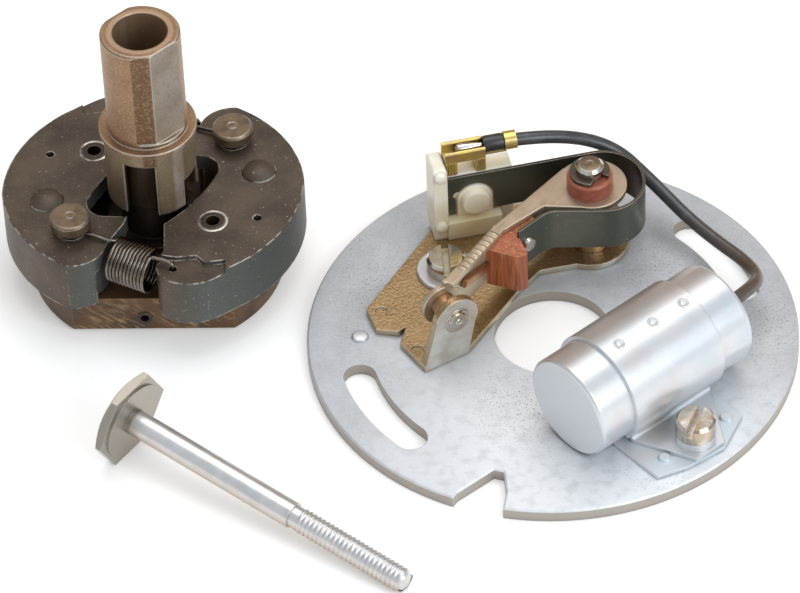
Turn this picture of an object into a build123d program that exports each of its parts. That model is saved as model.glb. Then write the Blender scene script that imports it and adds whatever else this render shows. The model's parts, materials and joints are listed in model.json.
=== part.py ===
from build123d import *
from math import atan2, cos, degrees, radians, sin, tan
import os

# Contact-breaker ignition set laid out on a bench: breaker plate with contact set and condenser,
# mechanical advance unit, and the long centre bolt that holds the advance unit to the camshaft.
# Millimetres, +Z up, bench at z = 0, origin on the axis of the plate's centre hole.

os.makedirs("parts", exist_ok=True)

# Fits and clearances
running_fit = 0.05
free_gap = 0.3
screw_clearance = 0.25
contact_gap = 0.1

# Breaker plate
plate_radius = 43.3
plate_thickness = 2.4
centre_hole_radius = 10.3
timing_slot_radius = 35.3
timing_slot_width = 5.8
timing_slot_half_angle = 14.4
timing_slot_angle = 208.8
rim_notch_angle = -109.0
rim_notch_depth = 8.6
rim_notch_width = 10.0
pip_x = -33.9
pip_y = 0.85
pip_radius = 1.6
pip_height = 0.5
edge_break = 0.3

# Contact set, placed from its pivot
pivot_x = 7.9
pivot_y = 22.05
bracket_thickness = 1.2
bracket_eye_radius = 6.9
pivot_spigot_radius = 1.8
pivot_collar_radius = 3.8
pivot_pin_radius = 2.2
pivot_top = 22.0
arm_height = 8.5
arm_lift = 4.4
arm_sheet = 1.0
arm_eye_radius = 6.3
arm_eye_shift_x = 0.3
arm_eye_shift_y = 0.6
arm_flange = 2.0
bush_radius = 4.1
bush_rise = 3.0
ear_angle = 29.5
ear_thickness = 1.5
ear_head_radius = 4.2
contact_height = 8.0
contact_radius = 2.4
contact_thickness = 1.6
spring_thickness = 0.5
spring_height = 8.8
spring_loop_radius = 7.2
lock_screw_reach = 26.9
lock_screw_angle = 194.5
lock_slot_half_angle = 3.0
screw_radius = 1.75
screw_head_radius = 3.5
screw_head_height = 3.0
screw_slot_width = 1.3
lock_screw_turn = 92
condenser_screw_turn = 67

# Condenser
can_radius = 9.3
can_length = 35.0
can_angle = 38.7
can_front_x = 1.2
can_front_y = -27.85
strap_sheet = 0.8
strap_start = 7.2
strap_width = 20.3
foot_reach = 18.4
seat_thickness = 0.8
condenser_screw_reach = 14.6
condenser_screw_offset = -0.85
condenser_head_height = 3.5

# Lead
lead_radius = 1.2

# Advance unit
unit_x = -69.4
unit_y = 24.5
base_radius = 22.6
base_flat = 17.5
base_turn = -3
base_thickness = 8.2
weight_height = 10.5
weight_web = 3.2
weight_pivot_radius = 17.9
weight_pivot_angle = 36.5
weight_lobe_radius = 6.6
drive_pin_reach = 14.3
drive_pin_angle = -42.7
drive_pin_radius = 2.1
post_radius = 2.6
post_head_radius = 3.6
post_head_height = 2.0
post_neck = 1.5
spindle_radius = 4.8
cam_radius = 7.05
cam_height = 21.4
cam_flat = 6.2
cam_flat_angle = -50
cam_ramp = 6.75
cam_ramp_angle = -88
cam_ledge = 0.9
sleeve_radius = 8.0
sleeve_height = 14.0
sleeve_wall = 1.5
sleeve_slot_width = 5.6
sleeve_slot_angle = -103
sleeve_cut_angle = -43
collar_radius = 8.6
collar_height = 1.0
yoke_thickness = 3.0
yoke_reach = 20.2
coil_radius = 4.2
coil_stand_off = 1.5
coil_turns = 11
coil_wire = 0.7

# Centre bolt
bolt_head_x = -73.7
bolt_head_y = -22.2
bolt_heading = -37.6
bolt_radius = 2.35
bolt_length = 58.3
bolt_thread_length = 23.6
bolt_thread_radius = 2.0
bolt_head_flat = 15.6
bolt_head_height = 2.0
bolt_head_chamfer = 60
bolt_washer_face = 0.35
bolt_tip_chamfer = 0.5

# Heights and directions that follow from the sizes above
bracket_top = plate_thickness + bracket_thickness
arm_bottom = bracket_top + arm_lift
arm_top = arm_bottom + arm_height
spring_bottom = arm_bottom - (spring_height - arm_height) / 2
spring_top = spring_bottom + spring_height
can_axis = plate_thickness + can_radius
seat_top = plate_thickness + seat_thickness
weight_bottom = base_thickness + free_gap
weight_top = weight_bottom + weight_height
sleeve_bottom = weight_top + free_gap
collar_bottom = sleeve_bottom + sleeve_height
cam_foot = collar_bottom + collar_height
cam_top = cam_foot + cam_height
yoke_bottom = base_thickness + 2 * free_gap


def polar(radius, angle):
    """Point at a radius and an angle in degrees."""
    return (radius * cos(radians(angle)), radius * sin(radians(angle)))


def at_pivot(z):
    """Horizontal plane at height z with its origin on the contact pivot."""
    return Plane(origin=(pivot_x, pivot_y, z))


def in_unit(z, turn=0):
    """Horizontal plane at height z on the advance unit's axis, turned about it."""
    return Plane(origin=(unit_x, unit_y, z), x_dir=(cos(radians(turn)), sin(radians(turn)), 0))


def upright(x, y):
    """Vertical plane through a vertical axis: local x is the radius, local y the height."""
    return Plane(origin=(x, y, 0), x_dir=(1, 0, 0), z_dir=(0, -1, 0))


def save(piece, name):
    """Label a finished piece and write it to its own file."""
    piece.part.label = name
    export_step(piece.part, f"parts/{name}.step")


# Breaker plate: disc with centre hole, two timing slots, rim notch and an adjuster pip
condenser_dir = Vector(cos(radians(can_angle)), sin(radians(can_angle)))
condenser_side = Vector(sin(radians(can_angle)), -cos(radians(can_angle)))
can_front = Vector(can_front_x, can_front_y)
strap_mid = strap_start + strap_width / 2
screw_along = strap_mid + condenser_screw_offset
condenser_screw_at = can_front + condenser_dir * screw_along + condenser_side * condenser_screw_reach
lock_screw_at = Vector(pivot_x, pivot_y) + Vector(*polar(lock_screw_reach, lock_screw_angle))
notch_half = rim_notch_width / 2

with BuildPart() as breaker_plate:
    with BuildSketch():
        Circle(plate_radius)
        Circle(centre_hole_radius, mode=Mode.SUBTRACT)
        for turn in (0, 180):
            start = timing_slot_angle + turn - timing_slot_half_angle
            slot_line = CenterArc((0, 0), timing_slot_radius, start, 2 * timing_slot_half_angle)
            SlotArc(slot_line, timing_slot_width, mode=Mode.SUBTRACT)
        with BuildLine(Plane.XY.rotated((0, 0, rim_notch_angle))):
            Polyline(
                (plate_radius + 1, -notch_half * 1.15),
                (plate_radius - rim_notch_depth * 0.2, -notch_half),
                (plate_radius - rim_notch_depth, -notch_half * 0.1),
                (plate_radius - rim_notch_depth, notch_half * 0.25),
                (plate_radius - rim_notch_depth * 0.5, notch_half * 0.6),
                (plate_radius + 1, notch_half * 0.75),
                close=True,
            )
        make_face(mode=Mode.SUBTRACT)
    extrude(amount=plate_thickness)
    rim = breaker_plate.faces().sort_by(Axis.Z)[-1].outer_wire().edges()
    chamfer(rim, edge_break)
    with Locations((pivot_x, pivot_y, 0)):
        Hole(pivot_spigot_radius + running_fit)
    with Locations((lock_screw_at.X, lock_screw_at.Y, 0), (condenser_screw_at.X, condenser_screw_at.Y, 0)):
        Hole(screw_radius)
    with BuildSketch(Plane.XY.offset(plate_thickness)):
        with Locations((pip_x, pip_y)):
            Circle(pip_radius)
    extrude(amount=pip_height, taper=30)
save(breaker_plate, "breaker_plate")

# Contact bracket: flat foot with a round eye at the pivot and an upright ear for the fixed contact
ear_dir = Vector(cos(radians(ear_angle)), sin(radians(ear_angle)))
ear_front = Vector(sin(radians(ear_angle)), -cos(radians(ear_angle)))
ear_foot = Vector(-30.6, -30.7)
ear_width = 9.0
contact_along = 6.8
ear_plane = Plane(
    origin=(pivot_x + ear_foot.X, pivot_y + ear_foot.Y, bracket_top),
    x_dir=(ear_dir.X, ear_dir.Y, 0),
    z_dir=(ear_front.X, ear_front.Y, 0),
)
bracket_far = bracket_eye_radius + 2.9
ear_end = ear_foot + ear_dir * ear_width

lock_slot_start = lock_screw_angle - lock_slot_half_angle
lock_slot_line = CenterArc((0, 0), lock_screw_reach, lock_slot_start, 2 * lock_slot_half_angle)

with BuildPart() as contact_bracket:
    with BuildSketch(at_pivot(plate_thickness)):
        with BuildLine():
            Polyline(
                (-2.0, bracket_eye_radius * 0.9),
                (-13.0, bracket_far),
                (-26.0, bracket_far - 2.0),
                (-40.5, -15.4),
                (-38.9, -20.6),
                (-35.1, -21.4),
                (-33.6, -20.2),
                (-34.8, -24.2),
                (ear_foot.X, ear_foot.Y),
                (ear_end.X, ear_end.Y),
                (-13.9, -13.0),
                (-9.4, -7.6),
                (-2.0, -bracket_eye_radius * 0.9),
                close=True,
            )
        make_face()
        Circle(bracket_eye_radius)
    extrude(amount=bracket_thickness)
    with BuildSketch(ear_plane):
        with BuildLine():
            Polyline(
                (0, -bracket_thickness / 2),
                (contact_along - ear_head_radius * 0.98, contact_height + 0.6),
                (contact_along + ear_head_radius * 0.98, contact_height + 0.6),
                (ear_width, -bracket_thickness / 2),
                close=True,
            )
        make_face()
        with Locations((contact_along, contact_height + 0.4)):
            Circle(ear_head_radius)
    extrude(amount=-ear_thickness)
    with Locations(at_pivot(bracket_top)):
        Hole(pivot_spigot_radius)
    with BuildSketch(at_pivot(bracket_top)):
        SlotArc(lock_slot_line, 2 * (screw_radius + screw_clearance))
    extrude(amount=-bracket_thickness, mode=Mode.SUBTRACT)
    with BuildSketch(at_pivot(bracket_top)):
        with Locations((-37.9, -16.1), (-31.9, -26.1)):
            Circle(1.1)
    extrude(amount=-0.4, mode=Mode.SUBTRACT)
    with Locations(ear_plane.location * Pos(contact_along, contact_height, 0)):
        Hole(1.2)
save(contact_bracket, "contact_bracket")

# Fixed contact: tungsten face on the arm side of the ear, riveted over on the front
with BuildPart() as fixed_contact:
    with BuildSketch(ear_plane.offset(-ear_thickness)):
        with Locations((contact_along, contact_height)):
            Circle(contact_radius)
    extrude(amount=-contact_thickness)
    with BuildSketch(ear_plane.offset(-ear_thickness)):
        with Locations((contact_along, contact_height)):
            Circle(1.2)
    extrude(amount=ear_thickness)
    with BuildSketch(ear_plane):
        with Locations((contact_along, contact_height)):
            Circle(1.9)
            Circle(0.6, mode=Mode.SUBTRACT)
    extrude(amount=0.5, taper=20)
save(fixed_contact, "fixed_contact")

# Pivot post: spigot in the plate, collar under the arm, pin with a clip groove near its top
clip_thickness = 0.6
clip_bottom = arm_top + bush_rise + 0.2
groove_depth = 0.5
with BuildPart() as pivot_post:
    with BuildSketch(upright(pivot_x, pivot_y)):
        with BuildLine():
            Polyline(
                (0, free_gap),
                (pivot_spigot_radius, free_gap),
                (pivot_spigot_radius, bracket_top),
                (pivot_collar_radius, bracket_top),
                (pivot_collar_radius, arm_bottom - free_gap),
                (pivot_pin_radius, arm_bottom - free_gap),
                (pivot_pin_radius, clip_bottom),
                (pivot_pin_radius - groove_depth, clip_bottom),
                (pivot_pin_radius - groove_depth, clip_bottom + clip_thickness),
                (pivot_pin_radius + 0.3, clip_bottom + clip_thickness),
                (pivot_pin_radius + 0.3, pivot_top - 0.5),
                (pivot_pin_radius - 0.2, pivot_top),
                (0, pivot_top),
                close=True,
            )
        make_face()
    revolve(axis=Axis((pivot_x, pivot_y, 0), (0, 0, 1)))
save(pivot_post, "pivot_post")

# Retaining clip: open ring sprung into the groove
with BuildPart() as pivot_clip:
    with BuildSketch(at_pivot(clip_bottom)):
        Circle(pivot_pin_radius + 1.4)
        Circle(pivot_pin_radius - groove_depth, mode=Mode.SUBTRACT)
        with Locations((1.6, -3.0)):
            Rectangle(2.2, 4.0, rotation=-30, mode=Mode.SUBTRACT)
    extrude(amount=clip_thickness)
save(pivot_clip, "pivot_clip")

# Fibre bush pressed in the arm's eyes, turning on the pin
bush_core = bush_radius - 0.8
with BuildPart() as pivot_bush:
    with BuildSketch(at_pivot(arm_bottom)):
        Circle(bush_core)
    extrude(amount=arm_height)
    with BuildSketch(at_pivot(arm_top)):
        Circle(bush_radius)
    extrude(amount=bush_rise)
    chamfer(pivot_bush.faces().sort_by(Axis.Z)[-1].edges(), 0.3)
    with Locations(at_pivot(arm_top)):
        Hole(pivot_pin_radius + running_fit)
save(pivot_bush, "pivot_bush")

# Breaker arm: two eyes round the bush, joined by an upright web that runs out to the moving contact
# under a narrow top flange
contact_stack = ear_thickness + 2 * contact_thickness + contact_gap
eye_centre = ear_foot + ear_dir * contact_along - ear_front * (contact_stack + arm_sheet / 2)
web_root = Vector(-6.4, -1.6)
web_knee = Vector(-16.4, -9.3)
web_bend = eye_centre + ear_dir * 2.6
web_dir = (web_bend - web_knee).normalized()
web_side = Vector(-web_dir.Y, web_dir.X)
eye_radius = 3.9
tip_plane = ear_plane.offset(-contact_stack - arm_sheet)

with BuildPart() as breaker_arm:
    with BuildSketch(at_pivot(arm_top - arm_sheet)):
        with Locations((arm_eye_shift_x, arm_eye_shift_y)):
            Circle(arm_eye_radius)
        with BuildLine():
            Polyline(
                (-4.4, 5.0),
                (web_knee.X - 0.6, web_knee.Y + 0.6),
                (web_knee.X + 0.8, web_knee.Y - 0.8),
                (-8.4, -4.6),
                (-2.0, arm_eye_shift_y - arm_eye_radius * 0.94),
                close=True,
            )
        make_face()
        with BuildLine() as flange_line:
            Line(web_knee, web_bend + web_dir * arm_flange * 0.8)
        trace(flange_line.line, line_width=arm_flange)
    extrude(amount=arm_sheet)
    with BuildSketch(at_pivot(arm_bottom)):
        Circle(arm_eye_radius * 0.9)
        with BuildLine():
            Polyline(
                (-2.0, arm_eye_radius * 0.84),
                (web_root.X - 6.0, web_root.Y - 3.6),
                (-8.0, -4.2),
                (-2.0, -arm_eye_radius * 0.84),
                close=True,
            )
        make_face()
    extrude(amount=arm_sheet)
    with BuildSketch(at_pivot(arm_bottom)):
        with BuildLine() as web_line:
            FilletPolyline(web_root, web_knee, web_bend, eye_centre + ear_dir * 0.5, radius=[2.0, 1.2])
        trace(web_line.line, line_width=arm_sheet)
    extrude(amount=arm_height)
    with BuildSketch(tip_plane):
        with Locations((contact_along, contact_height)):
            Circle(eye_radius)
    extrude(amount=arm_sheet)
    with BuildSketch(at_pivot(arm_bottom)):
        Circle(bush_core)
    extrude(amount=arm_height, mode=Mode.SUBTRACT)
    with Locations(tip_plane.location * Pos(contact_along, contact_height, arm_sheet)):
        Hole(1.2, depth=arm_sheet)
save(breaker_arm, "breaker_arm")

# Moving contact riveted through the arm's end
with BuildPart() as moving_contact:
    with BuildSketch(tip_plane.offset(arm_sheet)):
        with Locations((contact_along, contact_height)):
            Circle(contact_radius)
    extrude(amount=contact_thickness)
    with BuildSketch(tip_plane):
        with Locations((contact_along, contact_height)):
            Circle(1.2)
    extrude(amount=arm_sheet)
    with BuildSketch(tip_plane):
        with Locations((contact_along, contact_height)):
            Circle(2.0)
    extrude(amount=-0.6)
save(moving_contact, "moving_contact")

# Conductor strip on the cam side of the web, rising from the rubbing block to the moving contact
strip_thickness = 1.1
strip_height = 1.6
strip_start = 5.6
strip_end = (web_bend - web_knee).length - 1.6
strip_low = arm_bottom + arm_height * 0.46
strip_high = arm_bottom + arm_height * 0.72
strip_foot = web_knee + web_side * (arm_sheet / 2)
strip_plane = Plane(
    origin=(pivot_x + strip_foot.X, pivot_y + strip_foot.Y, 0),
    x_dir=(web_dir.X, web_dir.Y, 0),
    z_dir=(-web_side.X, -web_side.Y, 0),
)
with BuildPart() as conductor_strip:
    with BuildSketch(strip_plane):
        with BuildLine() as strip_line:
            Line((strip_start, strip_low), (strip_end, strip_high))
        trace(strip_line.line, line_width=strip_height)
    extrude(amount=-strip_thickness)
    outer_face = conductor_strip.faces().sort_by(Axis((0, 0, 0), (web_side.X, web_side.Y, 0)))[-1]
    fillet(outer_face.edges(), strip_thickness / 3)
save(conductor_strip, "conductor_strip")

# Fibre rubbing block: a nose towards the cam and a tail wedged between web and spring
spring_head = Vector(-13.2, -10.9)
spring_knee = Vector(-7.7, -5.95)
loop_near = Vector(10.2, -7.0)
loop_far = Vector(9.0, 10.2)
spring_tail = Vector(-25.2, 3.35)
spring_dir = (spring_knee - spring_head).normalized()
spring_inside = Vector(-spring_dir.Y, spring_dir.X) * spring_thickness / 2
root_dir = (web_root - web_knee).normalized()
root_side = Vector(root_dir.Y, -root_dir.X)
block_bottom = arm_bottom - 0.9
block_top = arm_top - arm_sheet - 0.05
with BuildPart() as rubbing_block:
    with BuildSketch(at_pivot(block_bottom)):
        with BuildLine():
            Polyline(
                web_knee + web_dir * 5.2 + web_side * (arm_sheet / 2),
                (-13.6, -16.2),
                (-11.7, -15.5),
                (-12.9, -11.8),
                spring_head - spring_dir * 0.3 + spring_inside,
                spring_head + spring_dir * 4.6 + spring_inside,
                web_knee + root_dir * 7.0 + root_side * (arm_sheet / 2),
                web_knee + root_dir * 0.9 + root_side * (arm_sheet / 2),
                web_knee + web_dir * 0.9 + web_side * (arm_sheet / 2),
                close=True,
            )
        make_face()
    extrude(amount=block_top - block_bottom)
    fillet(rubbing_block.edges().filter_by(Axis.Z).sort_by(Axis.Y)[:2], 0.5)
    rivet_at = spring_head + spring_dir * 2.2
    rivet_plane = Plane(
        origin=(pivot_x + rivet_at.X, pivot_y + rivet_at.Y, (arm_bottom + arm_top) / 2),
        x_dir=(spring_dir.X, spring_dir.Y, 0),
        z_dir=(spring_dir.Y, -spring_dir.X, 0),
    )
    rivet_grip = 2.0
    with BuildSketch(rivet_plane):
        Circle(0.9)
    extrude(amount=-rivet_grip, mode=Mode.SUBTRACT)
save(rubbing_block, "rubbing_block")

# Leaf spring: riveted by the block, looped round the pivot and back to the terminal
tail_dir = (loop_far - spring_tail).normalized()
stud_at = spring_tail + tail_dir * 4.9
stud_height = 11.0
stud_radius = 2.5
stud_arch = 3.2
terminal_plane = Plane(
    origin=(pivot_x + stud_at.X, pivot_y + stud_at.Y, 0),
    x_dir=(tail_dir.X, tail_dir.Y, 0),
)
stud_plane = Plane(
    origin=(pivot_x + stud_at.X, pivot_y + stud_at.Y, 0),
    x_dir=(tail_dir.X, tail_dir.Y, 0),
    z_dir=(tail_dir.Y, -tail_dir.X, 0),
)
with BuildPart() as breaker_spring:
    with BuildSketch(at_pivot(spring_bottom)):
        with BuildLine() as spring_line:
            FilletPolyline(
                spring_head,
                spring_knee,
                loop_near,
                loop_far,
                spring_tail,
                radius=[4.5, spring_loop_radius, spring_loop_radius],
            )
        trace(spring_line.line, line_width=spring_thickness)
    extrude(amount=spring_height)
    with BuildSketch(stud_plane):
        with Locations((0, stud_height)):
            Circle(stud_arch + free_gap)
        with Locations((0, (stud_height + spring_bottom) / 2 - 1)):
            Rectangle(2 * (stud_arch + free_gap), stud_height - spring_bottom + 2)
    extrude(amount=2, both=True, mode=Mode.SUBTRACT)
    with Locations(rivet_plane.location):
        Hole(0.9)
save(breaker_spring, "breaker_spring")

# Rivet through spring, block tail and web
with BuildPart() as spring_rivet:
    with BuildSketch(rivet_plane.offset(spring_thickness / 2)):
        Circle(1.5)
    extrude(amount=0.6, taper=25)
    with BuildSketch(rivet_plane.offset(spring_thickness / 2)):
        Circle(0.9)
    extrude(amount=-rivet_grip - spring_thickness / 2)
save(spring_rivet, "spring_rivet")

# Nylon terminal block: bar behind the spring's end, side column, front ledge and a stud through the spring
bar_depth = 3.4
bar_top = spring_top + 0.4
spring_back = spring_thickness / 2
column_top = arm_top + 3.6
ledge_top = spring_bottom - free_gap
with BuildPart() as terminal_block:
    with BuildSketch(terminal_plane.offset(bracket_top)):
        with Locations((0.8, spring_back + bar_depth / 2)):
            Rectangle(12.4, bar_depth)
    extrude(amount=bar_top - bracket_top)
    with BuildSketch(terminal_plane.offset(bracket_top)):
        with Locations((-6.5, 1.2)):
            Rectangle(2.6, 5.6)
    extrude(amount=column_top - bracket_top)
    with BuildSketch(terminal_plane.offset(bracket_top)):
        with Locations((-0.4, -0.8)):
            Rectangle(10.0, 2.8)
    extrude(amount=ledge_top - bracket_top)
    with BuildSketch(stud_plane.offset(-spring_back)):
        with Locations((0, stud_height)):
            Circle(stud_arch)
        with Locations((0, (stud_height + bracket_top) / 2)):
            Rectangle(2 * stud_arch, stud_height - bracket_top)
    extrude(amount=2 * spring_back + 0.2)
    with BuildSketch(stud_plane):
        with Locations((0, stud_height)):
            Circle(stud_radius)
    extrude(amount=1.8)
    fillet(terminal_block.faces().sort_by(Axis.Z)[-1].edges(), 0.6)
save(terminal_block, "terminal_block")

# Brass terminal clip: leg down the bar's front, open channel above it, second leg into the bar
clip_sheet = 0.5
channel_floor = column_top - 0.3
with BuildPart() as terminal_clip:
    with BuildSketch(terminal_plane.offset(channel_floor)):
        with Locations((-1.4, spring_back + bar_depth / 2)):
            Rectangle(7.4, bar_depth)
    extrude(amount=clip_sheet)
    with BuildSketch(terminal_plane.offset(channel_floor)):
        for rail in (clip_sheet / 2, bar_depth - clip_sheet / 2):
            with Locations((-1.4, spring_back + rail)):
                Rectangle(7.4, clip_sheet)
    extrude(amount=2.0)
    with BuildSketch(terminal_plane.offset(bar_top)):
        with Locations((-4.0, spring_back + bar_depth / 2)):
            Rectangle(2.2, bar_depth)
        with Locations((1.4, spring_back + bar_depth / 2)):
            Rectangle(1.8, bar_depth)
    extrude(amount=channel_floor - bar_top)
save(terminal_clip, "terminal_clip")

# Lock screw with its plain washer, clamping the bracket to the plate through the arc slot
washer_thickness = 0.8
washer_radius = 5.3


def cheese_head(place, head_bottom, head_height, slot_turn):
    """Slotted cheese-head screw standing upright at a place, its shank down through the plate."""
    with BuildPart() as screw:
        with BuildSketch(Plane(origin=(place.X, place.Y, head_bottom))):
            Circle(screw_head_radius)
        extrude(amount=head_height)
        chamfer(screw.faces().sort_by(Axis.Z)[-1].edges(), 0.5)
        with BuildSketch(Plane(origin=(place.X, place.Y, head_bottom))):
            Circle(screw_radius)
        extrude(amount=-head_bottom)
        with BuildSketch(Plane(origin=(place.X, place.Y, head_bottom + head_height))):
            Rectangle(3 * screw_head_radius, screw_slot_width, rotation=slot_turn)
        extrude(amount=-head_height * 0.5, mode=Mode.SUBTRACT)
    return screw


with BuildPart() as lock_screw_washer:
    with BuildSketch(Plane(origin=(lock_screw_at.X, lock_screw_at.Y, bracket_top))):
        Circle(washer_radius)
        Circle(screw_radius + screw_clearance, mode=Mode.SUBTRACT)
    extrude(amount=washer_thickness)
    chamfer(lock_screw_washer.faces().sort_by(Axis.Z)[-1].outer_wire().edges(), 0.2)
save(lock_screw_washer, "lock_screw_washer")

lock_screw = cheese_head(lock_screw_at, bracket_top + washer_thickness, screw_head_height, lock_screw_turn)
save(lock_screw, "lock_screw")

# Condenser can: closed front with a rounded rim, rolled-in rear lip round a recessed seal
can_plane = Plane(
    origin=(can_front.X, can_front.Y, can_axis),
    x_dir=(condenser_side.X, condenser_side.Y, 0),
    z_dir=(condenser_dir.X, condenser_dir.Y, 0),
)
can_wall = 0.6
lip_depth = 1.6
seal_radius = can_radius - 2 * can_wall - 0.5
boss_reach = 3.2
with BuildPart() as condenser_can:
    with BuildSketch(can_plane):
        Circle(can_radius)
    extrude(amount=can_length)
    fillet(condenser_can.edges().filter_by(GeomType.CIRCLE), 0.7)
    with BuildSketch(can_plane.offset(can_length)):
        Circle(seal_radius)
    extrude(amount=-lip_depth, mode=Mode.SUBTRACT)
save(condenser_can, "condenser_can")

with BuildPart() as condenser_seal:
    with BuildSketch(can_plane.offset(can_length - lip_depth)):
        Circle(seal_radius)
    extrude(amount=lip_depth * 0.6)
    with BuildSketch(can_plane.offset(can_length - lip_depth)):
        Circle(lead_radius + 1.4)
    extrude(amount=lip_depth + boss_reach)
    chamfer(condenser_seal.faces().sort_by(Axis(can_plane.origin, can_plane.z_dir))[-1].edges(), 0.6)
    with BuildSketch(can_plane.offset(can_length - lip_depth)):
        Circle(lead_radius)
    extrude(amount=lip_depth + boss_reach, mode=Mode.SUBTRACT)
save(condenser_seal, "condenser_seal")

# Strap: band round the can, tucked in below its middle, that turns out into a foot tapering past the screw
strap_radius = can_radius + strap_sheet / 2
foot_level = can_axis - seat_top - strap_sheet / 2
strap_bend = 1.0
strap_wrap = 215
strap_tuck = 38
foot_root = 7.4
fold_root = 5.4
foot_half = 3.2
tuck_x, tuck_y = polar(strap_radius, strap_tuck)
tuck_run = (foot_level - tuck_y) / cos(radians(strap_tuck))
with BuildPart() as condenser_strap:
    with BuildSketch(can_plane.offset(strap_start)):
        with BuildLine() as band_line:
            CenterArc((0, 0), strap_radius, -strap_wrap, strap_wrap + strap_tuck)
            FilletPolyline(
                (tuck_x, tuck_y),
                (tuck_x - tuck_run * sin(radians(strap_tuck)), foot_level),
                (foot_reach, foot_level),
                radius=strap_bend,
            )
        trace(band_line.line, line_width=strap_sheet)
    extrude(amount=strap_width)
    foot_plane = Plane(
        origin=(can_front.X, can_front.Y, seat_top),
        x_dir=(condenser_dir.X, condenser_dir.Y, 0),
    )
    with BuildSketch(foot_plane):
        for side in (-1, 1):
            with BuildLine():
                Polyline(
                    (strap_mid + side * strap_width * 0.55, -fold_root),
                    (strap_mid + side * strap_width * 0.45, -fold_root),
                    (strap_mid + side * strap_width * 0.45, -foot_root),
                    (screw_along + side * foot_half, -foot_reach),
                    (screw_along + side * foot_half, -foot_reach - 1),
                    (strap_mid + side * strap_width * 0.55, -foot_reach - 1),
                    close=True,
                )
            make_face()
    extrude(amount=strap_sheet + strap_bend, mode=Mode.SUBTRACT)
    with Locations((condenser_screw_at.X, condenser_screw_at.Y, seat_top + strap_sheet)):
        Hole(screw_radius + screw_clearance, depth=strap_sheet)
save(condenser_strap, "condenser_strap")

# Seat plate under the foot, with two locating pips
seat_start = strap_start - 1.2
seat_length = 20.8
seat_far = foot_reach + 0.5
seat_near = can_radius * 0.55
seat_pip_offset = 7.2
seat_pip_along = screw_along + 0.5
seat_pip_reach = condenser_screw_reach - 0.6
seat_pip_radius = 1.2
with BuildPart() as condenser_seat:
    with BuildSketch(foot_plane.offset(-seat_thickness)):
        with BuildLine():
            Polyline(
                (seat_start, -seat_near),
                (seat_start, -seat_far + 2.6),
                (seat_start + 5.5, -seat_far + 0.8),
                (seat_start + seat_length - 7.5, -seat_far),
                (seat_start + seat_length, -seat_far + 3.6),
                (seat_start + seat_length, -seat_near),
                close=True,
            )
        make_face()
        with Locations((screw_along, -condenser_screw_reach)):
            Circle(screw_radius + screw_clearance, mode=Mode.SUBTRACT)
    extrude(amount=seat_thickness)
    with BuildSketch(foot_plane):
        for side in (-1, 1):
            with Locations((seat_pip_along + side * seat_pip_offset, -seat_pip_reach)):
                Circle(seat_pip_radius)
    extrude(amount=pip_height, taper=30)
save(condenser_seat, "condenser_seat")

foot_top = seat_top + strap_sheet
lock_washer_thickness = 1.6
with BuildPart() as condenser_lock_washer:
    with BuildSketch(Plane(origin=(condenser_screw_at.X, condenser_screw_at.Y, foot_top))):
        Circle(screw_head_radius)
        Circle(screw_radius + screw_clearance, mode=Mode.SUBTRACT)
        with Locations((-screw_head_radius, 0)):
            Rectangle(2 * screw_head_radius, 0.7, rotation=20, mode=Mode.SUBTRACT)
    extrude(amount=lock_washer_thickness)
save(condenser_lock_washer, "condenser_lock_washer")

condenser_head_bottom = foot_top + lock_washer_thickness
condenser_screw = cheese_head(
    condenser_screw_at, condenser_head_bottom, condenser_head_height, condenser_screw_turn
)
save(condenser_screw, "condenser_screw")

# Lead from the terminal clip, over and round the contact set, down to the condenser's seal
lead_level = channel_floor + clip_sheet + lead_radius
lead_back = spring_back + bar_depth / 2
lead_start = terminal_plane.from_local_coords(Vector(2.4, lead_back, lead_level))
can_rear = Vector(can_front.X, can_front.Y, can_axis) + condenser_dir * can_length
lead_points = [
    lead_start,
    lead_start + tail_dir * 10.5,
    Vector(pivot_x + 4.2, pivot_y + loop_far.Y + 2.3, spring_top - 1.4),
    Vector(pivot_x + loop_near.X + 1.4, pivot_y + 7.2, arm_bottom + 2.0),
    Vector(27.0, 19.3, plate_thickness + 5.2),
    Vector(37.6, 6.4, plate_thickness + 5.8),
    can_rear + condenser_dir * 6.8,
    can_rear - condenser_dir * lip_depth * 0.4,
]


def bend_radii(points):
    """Largest easy bend at each corner: 0.45 of the shorter run, over the tangent of half the turn."""
    radii = []
    for before, corner, after in zip(points, points[1:], points[2:]):
        turn = (corner - before).get_angle(after - corner)
        shorter = min((corner - before).length, (after - corner).length)
        radii.append(0.45 * shorter / tan(radians(turn) / 2))
    return radii


lead_radii = bend_radii(lead_points)
print("lead points", [tuple(round(value, 2) for value in point) for point in lead_points])
print("lead bend radii", [round(radius, 1) for radius in lead_radii])
with BuildPart() as condenser_lead:
    with BuildLine() as lead_line:
        FilletPolyline(*lead_points, radius=lead_radii)
    with BuildSketch(Plane(origin=lead_line.line @ 0, z_dir=lead_line.line % 0)):
        Circle(lead_radius)
    sweep(path=lead_line.line)
lead_length = lead_line.wire().length
lead_section = condenser_lead.part.volume / lead_length
print("lead length", round(lead_length, 1), "section by volume", round(lead_section, 3))
save(condenser_lead, "condenser_lead")

# Crimp: brass band round the lead with a tongue back to the clip
with BuildPart() as lead_crimp:
    with BuildSketch(Plane(
            origin=terminal_plane.from_local_coords((6.0, lead_back, lead_level)),
            x_dir=(0, 0, 1),
            z_dir=(tail_dir.X, tail_dir.Y, 0))):
        Circle(lead_radius + clip_sheet)
        Circle(lead_radius, mode=Mode.SUBTRACT)
    extrude(amount=2.2)
    with BuildSketch(terminal_plane.offset(channel_floor)):
        with Locations((4.3, lead_back)):
            Rectangle(4.0, 2.0)
    extrude(amount=clip_sheet)
save(lead_crimp, "lead_crimp")

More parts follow.
